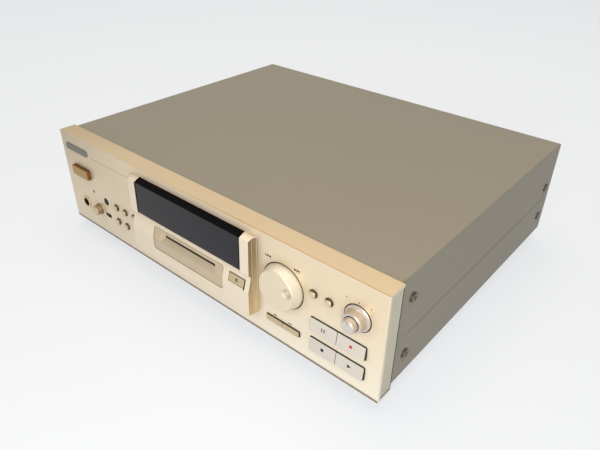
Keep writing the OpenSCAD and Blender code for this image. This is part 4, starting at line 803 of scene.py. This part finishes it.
def knob_gap():
    """Painted shade: the dark gap between the balance knob and the face of the level knob round it."""
    radius = Cap("balance_knob").radius
    x, z = centre_of("balance_knob")
    face = out_of("level_knob")
    under, around, proud, deep = 0.5, 0.55, 0.03, 0.3
    inner, outer = (disc_outline(x, z, radius + grow, FINE_SIDES) for grow in (-under, around))
    band("knob_gap", inner, outer, face + proud, face - deep, BODY_OF["level_knob"], GAP_AND_SHADE_BROWN)


# ---- Trim, and lines of painted highlight and shade ----

CREASE_Z = 48.5
THIN = {"slot": "front_aluminium", "thick": 0.03, "sunk": 0.05}


def button_domes():
    """The crowned tops of the small round buttons."""
    rim, rise, foot, steps, tip = 0.5, 0.35, 0.3, 6, 0.01
    for node in ROUND_BUTTONS:
        cap = Cap(node)
        radius = cap.radius - rim
        top = out_of(node)
        crown = [(radius * math.cos(a), -top - rise * math.sin(a))
                 for a in (math.pi / 2 * i / steps for i in range(steps))]
        profile = [(tip, foot - top), (radius, foot - top), *crown, (tip, -top - rise)]
        lathed(node.replace("button", "dome"), on_panel(*cap.middle), profile, cap.body, SMALL_CAPS,
               sides=24)


def dark_window_top_and_ends():
    """The black sloping top of the display window, as a painted dark reflection, and the black border at the
    window's ends, as painted shade in the frame gap.
    """
    low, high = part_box("display_window")
    half = high.x / MM
    z0, z1 = ((corner.z - PANEL_Z) / MM for corner in (low, high))
    face_low = out_of("display_window")
    points = [((PANEL_Y - v.co.y) / MM, (v.co.z - PANEL_Z) / MM)
              for v in NODES["display_window"].data.vertices]
    knee_out, knee_z = max((p for p in points if p[0] > face_low / 2), key=lambda p: p[1])
    lift, side, back, thick, border = 0.06, 0.02, 0.15, 0.5, 1.5
    profile = [(knee_z, knee_out + lift), (z1 + lift, back), (z1 - thick, back),
               (knee_z - thick, knee_out - thick)]
    vertices = [on_panel(x, z, out) for x in (-half - side, half + side) for z, out in profile]
    faces = [(0, 1, 2, 3), (7, 6, 5, 4)] + [(i, i + 4, (i + 1) % 4 + 4, (i + 1) % 4) for i in range(4)]
    piece("display_top_dark_reflection", vertices, faces, "root", BLACK_GLOSS)

    def lean(x, z):
        return face_low + (knee_out - face_low) * (z - z0) / (knee_z - z0)

    ends = [bar(s * (half - border / 2), (z0 + knee_z) / 2, border, knee_z - z0) for s in (-1, 1)]
    raised("window_end_shade", ends, lean, "root", BLACK_GLOSS, "smoked_window", thick=0.05, sunk=0.2)


def escutcheon_outline():
    """The fine tan line round the slot's escutcheon."""
    low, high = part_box("slot_escutcheon")
    box = (low.x / MM, (low.z - PANEL_Z) / MM, high.x / MM, (high.z - PANEL_Z) / MM)
    corner, inside, outside, proud, deep = 2.5, 0.1, 0.3, 0.03, 0.3
    inner, outer = (split_at(rounded(box, corner, grow), LEAN_Z) for grow in (-inside, outside))
    band("escutcheon_line", inner, outer, lambda x, z: slot_face(x, z) + proud,
         lambda x, z: slot_face(x, z) - deep, "root", SEAM_AND_SHADE_TAN)


def panel_edges():
    """The fine lines along the panel's top edge, its foot and its two ends, all painted light: highlight and
    shade along the top edge, shade along the foot, highlights at the ends.
    """
    half = panel_high.x / MM
    lines_short = 0.6
    width = 2 * half - lines_short
    top_down, top_high = 0.45, 0.7
    foot_up, foot_high = 1.3, 2.2
    end_in, end_wide, end_short = 0.3, 0.45, 2
    lines = {
        "panel_top_highlight_and_shade": ([bar(0, PANEL_H - top_down, width, top_high)], TOP_EDGE_HIGHLIGHT_AND_SHADE),
        "panel_foot_shade": ([bar(0, foot_up, width, foot_high)], SEAM_AND_SHADE_TAN),
        "panel_end_highlights": ([bar(s * (half - end_in), PANEL_H / 2, end_wide, PANEL_H - end_short)
                             for s in (-1, 1)], EDGE_HIGHLIGHT),
    }
    for name, (shapes, material) in lines.items():
        raised(name, shapes, 0, "root", material, **THIN)


def side_strip(name, y0, y1, z0, z1, x, thick, material):
    """A thin flat strip on both sides of the deck, between places of the frame in metres."""
    vertices, faces = [], []
    for side in (-1, 1):
        faces += slab_faces(len(vertices), 4)
        for face_x in (x - thick, x):
            vertices += [Vector((side * face_x, y, z)) for y, z in ((y0, z0), (y1, z0), (y1, z1), (y0, z1))]
    piece(name, vertices, faces, "root", material)


def cabinet_lines():
    """Painted shade: dark seams behind and under the end caps, and a dark line along the cover's crease."""
    caps_low, caps_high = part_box("end_caps")
    cover_low, cover_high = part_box("top_cover")
    seam_wide, seam_short, seam_out = 1.0 * MM, 1.5 * MM, 0.03 * MM
    side_strip("front_seam_shade", caps_high.y - seam_wide, caps_high.y, caps_low.z + seam_short,
               caps_high.z - seam_short, caps_high.x + seam_out, thick=0.3 * MM, material=GAP_AND_SHADE_BROWN)
    foot_short, foot_low, foot_high, foot_in = 1.0 * MM, 0.3 * MM, 0.8 * MM, 0.02 * MM
    side_strip("cap_foot_shade", caps_low.y + foot_short, caps_high.y - foot_short, caps_low.z - foot_low,
               caps_low.z + foot_high, panel_high.x - foot_in, thick=0.5 * MM, material=GAP_AND_SHADE_BROWN)
    crease_z, crease_half, crease_in = PANEL_Z + CREASE_Z * MM, 0.35 * MM, 0.38 * MM
    front_short, rear_short = 16 * MM, 12 * MM
    side_strip("crease_shade", cover_low.y + front_short, cover_high.y - rear_short, crease_z - crease_half,
               crease_z + crease_half, cover_high.x - crease_in, thick=0.2 * MM, material=CREASE_SHADE_BROWN)


def phones_insert():
    """The black bush inside the phones socket's plated ring."""
    x, z = centre_of("phones_jack")
    out = out_of("phones_jack")
    bore, rim, proud, deep = 3.1, 4.9, 0.08, 9
    band("phones_insert", disc_outline(x, z, bore), disc_outline(x, z, rim), out + proud, out - deep, "root",
         GAP_AND_SHADE_BROWN)


# ---- Rear sockets ----

# Turned profiles, as (radius, y), with y outward from a phono socket's end or a pin's tip.
PHONO_INSERT = [(1.75, -0.5), (3.5, -0.5), (3.5, 0.05), (3.3, 0.08), (1.75, 0.08)]
INLET_PIN = [(0.05, -9.0), (1.25, -9.0), (1.25, -0.6), (0.9, 0.0), (0.05, 0.1)]
PIN_X, PIN_INSIDE = 4.3, 2.0
# Two corners in (x, z) round a port's middle, and how far the face stands out of the port's end.
SHUTTER_PLATE = (-3.6, -3.6, 3.6, 2.5, 0.06)
SHUTTER_RIM = (-3.6, 2.7, 3.6, 3.6, 0.1)
SHUTTER_BACK = -0.1


def rear_details():
    """Coloured insulators in the phono sockets, shutters on the optical ports and pins in the mains inlet."""
    mounts = {m["name"]: Vector(m["pos_m"]) for m in frame["record"]["mounts"]}
    phono_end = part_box("rca_jacks")[1].y
    optical_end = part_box("optical_ports")[1].y
    inlet_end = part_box("ac_inlet")[1].y
    for name, place in mounts.items():
        if name.startswith("line_"):
            end = Vector((place.x, phono_end, place.z))
            material = RED_INSERT if name.endswith("right") else WHITE_INSERT
            lathed(name + "_insert", end, PHONO_INSERT, "root", material)
        elif name.startswith("optical_"):
            shutter(name + "_shutter", Vector((place.x, optical_end, place.z)))
    inlet = mounts["mains_inlet"]
    for side, name in ((-1, "left"), (1, "right")):
        tip = Vector((inlet.x + side * PIN_X * MM, inlet_end - PIN_INSIDE * MM, inlet.z))
        lathed(name + "_inlet_pin", tip, INLET_PIN, "root", PIN_NICKEL, sides=24)


def shutter(name, centre):
    """The little spring door of an optical port: a plate with a raised rim along its hinge."""
    vertices, faces = [], []
    for *corners, out in (SHUTTER_PLATE, SHUTTER_RIM):
        faces += slab_faces(len(vertices), 4)
        vertices += [centre + Vector((x, y, z)) * MM
                     for y in (SHUTTER_BACK, out) for x, z in rectangle(*corners)]
    piece(name, vertices, faces, "root", SHUTTER_GREY)


for make in (transport_marks, eject_mark, panel_marks, gap_shades, knob_gap, button_domes, dark_window_top_and_ends,
             escutcheon_outline, panel_edges, cabinet_lines, phones_insert, rear_details):
    make()


# ---- Studio ----

FLOOR_HALF = 6.0
FLOOR_COLOUR, FLOOR_ROUGH, FLOOR_SPECULAR = (0.24, 0.243, 0.25, 1), 0.9, 0.1
FLOOR_GLOW, FLOOR_GLOW_COLOUR = 0.67, (0.955, 0.975, 1.0, 1)
WORLD_STRENGTH, WORLD_COLOUR = 0.34, (0.95, 0.97, 1.0, 1)
WORLD_GLOW, WORLD_GLOW_COLOUR = 0.3, (0.96, 0.97, 1.0, 1)


def emission_for_view(tree, shader_output, colour, strength):
    """Adds light that only the camera, reflections and transmission see, so that a pale studio stays pale."""
    path = tree.nodes.new("ShaderNodeLightPath")
    seen = path.outputs["Is Camera Ray"]
    for kind in ("Is Glossy Ray", "Is Transmission Ray"):
        add = tree.nodes.new("ShaderNodeMath")
        add.operation = "ADD"
        add.use_clamp = True
        tree.links.new(seen, add.inputs[0])
        tree.links.new(path.outputs[kind], add.inputs[1])
        seen = add.outputs[0]
    scale = tree.nodes.new("ShaderNodeMath")
    scale.operation = "MULTIPLY"
    scale.inputs[1].default_value = strength
    tree.links.new(seen, scale.inputs[0])
    glow = tree.nodes.new("ShaderNodeEmission")
    glow.inputs["Color"].default_value = colour
    tree.links.new(scale.outputs[0], glow.inputs["Strength"])
    both = tree.nodes.new("ShaderNodeAddShader")
    tree.links.new(shader_output, both.inputs[0])
    tree.links.new(glow.outputs[0], both.inputs[1])
    return both.outputs[0]


def add_floor():
    """A plain pale floor, dark enough in itself to leave the sides of the deck their own tone."""
    mesh = bpy.data.meshes.new("floor")
    corners = rectangle(-FLOOR_HALF, -FLOOR_HALF, FLOOR_HALF, FLOOR_HALF)
    mesh.from_pydata([(x, y, 0) for x, y in corners], [], [(0, 1, 2, 3)])
    floor = bpy.data.objects.new("floor", mesh)
    bpy.context.scene.collection.objects.link(floor)
    material = bpy.data.materials.new("floor")
    material.use_nodes = True
    tree = material.node_tree
    shader = next(n for n in tree.nodes if n.type == "BSDF_PRINCIPLED")
    output = next(n for n in tree.nodes if n.type == "OUTPUT_MATERIAL")
    shader.inputs["Base Color"].default_value = FLOOR_COLOUR
    shader.inputs["Roughness"].default_value = FLOOR_ROUGH
    shader.inputs["Specular IOR Level"].default_value = FLOOR_SPECULAR
    glowing = emission_for_view(tree, shader.outputs[0], FLOOR_GLOW_COLOUR, FLOOR_GLOW)
    tree.links.new(glowing, output.inputs["Surface"])
    mesh.materials.append(material)


def add_world():
    """A weak even light from all round, which looks paler than it shines."""
    world = bpy.data.worlds.new("studio")
    bpy.context.scene.world = world
    world.use_nodes = True
    tree = world.node_tree
    background = next(n for n in tree.nodes if n.type == "BACKGROUND")
    output = next(n for n in tree.nodes if n.type == "OUTPUT_WORLD")
    background.inputs["Color"].default_value = WORLD_COLOUR
    background.inputs["Strength"].default_value = WORLD_STRENGTH
    glowing = emission_for_view(tree, background.outputs[0], WORLD_GLOW_COLOUR, WORLD_GLOW)
    tree.links.new(glowing, output.inputs["Surface"])


def add_softbox(name, place, aim, size, power, colour):
    """A square area lamp that faces a point."""
    data = bpy.data.lights.new(name, "AREA")
    data.size = size
    data.energy = power
    data.color = colour
    lamp = bpy.data.objects.new(name, data)
    lamp.location = place
    lamp.rotation_mode = "QUATERNION"
    lamp.rotation_quaternion = (Vector(aim) - Vector(place)).to_track_quat("-Z", "Y")
    lamp.visible_camera = False
    bpy.context.scene.collection.objects.link(lamp)


add_camera()
add_floor()
add_world()
add_softbox("front_softbox", place=(0.45, -0.75, 0.32), aim=(0.1, -0.15, 0.06), size=0.4, power=4.85,
            colour=(0.98, 0.99, 1))
add_softbox("top_softbox", place=(-0.1, 0.2, 1.8), aim=(0, 0, 0.1), size=1.6, power=20.2,
            colour=(1, 0.89, 0.7))
bpy.context.scene.view_settings.view_transform = "Standard"
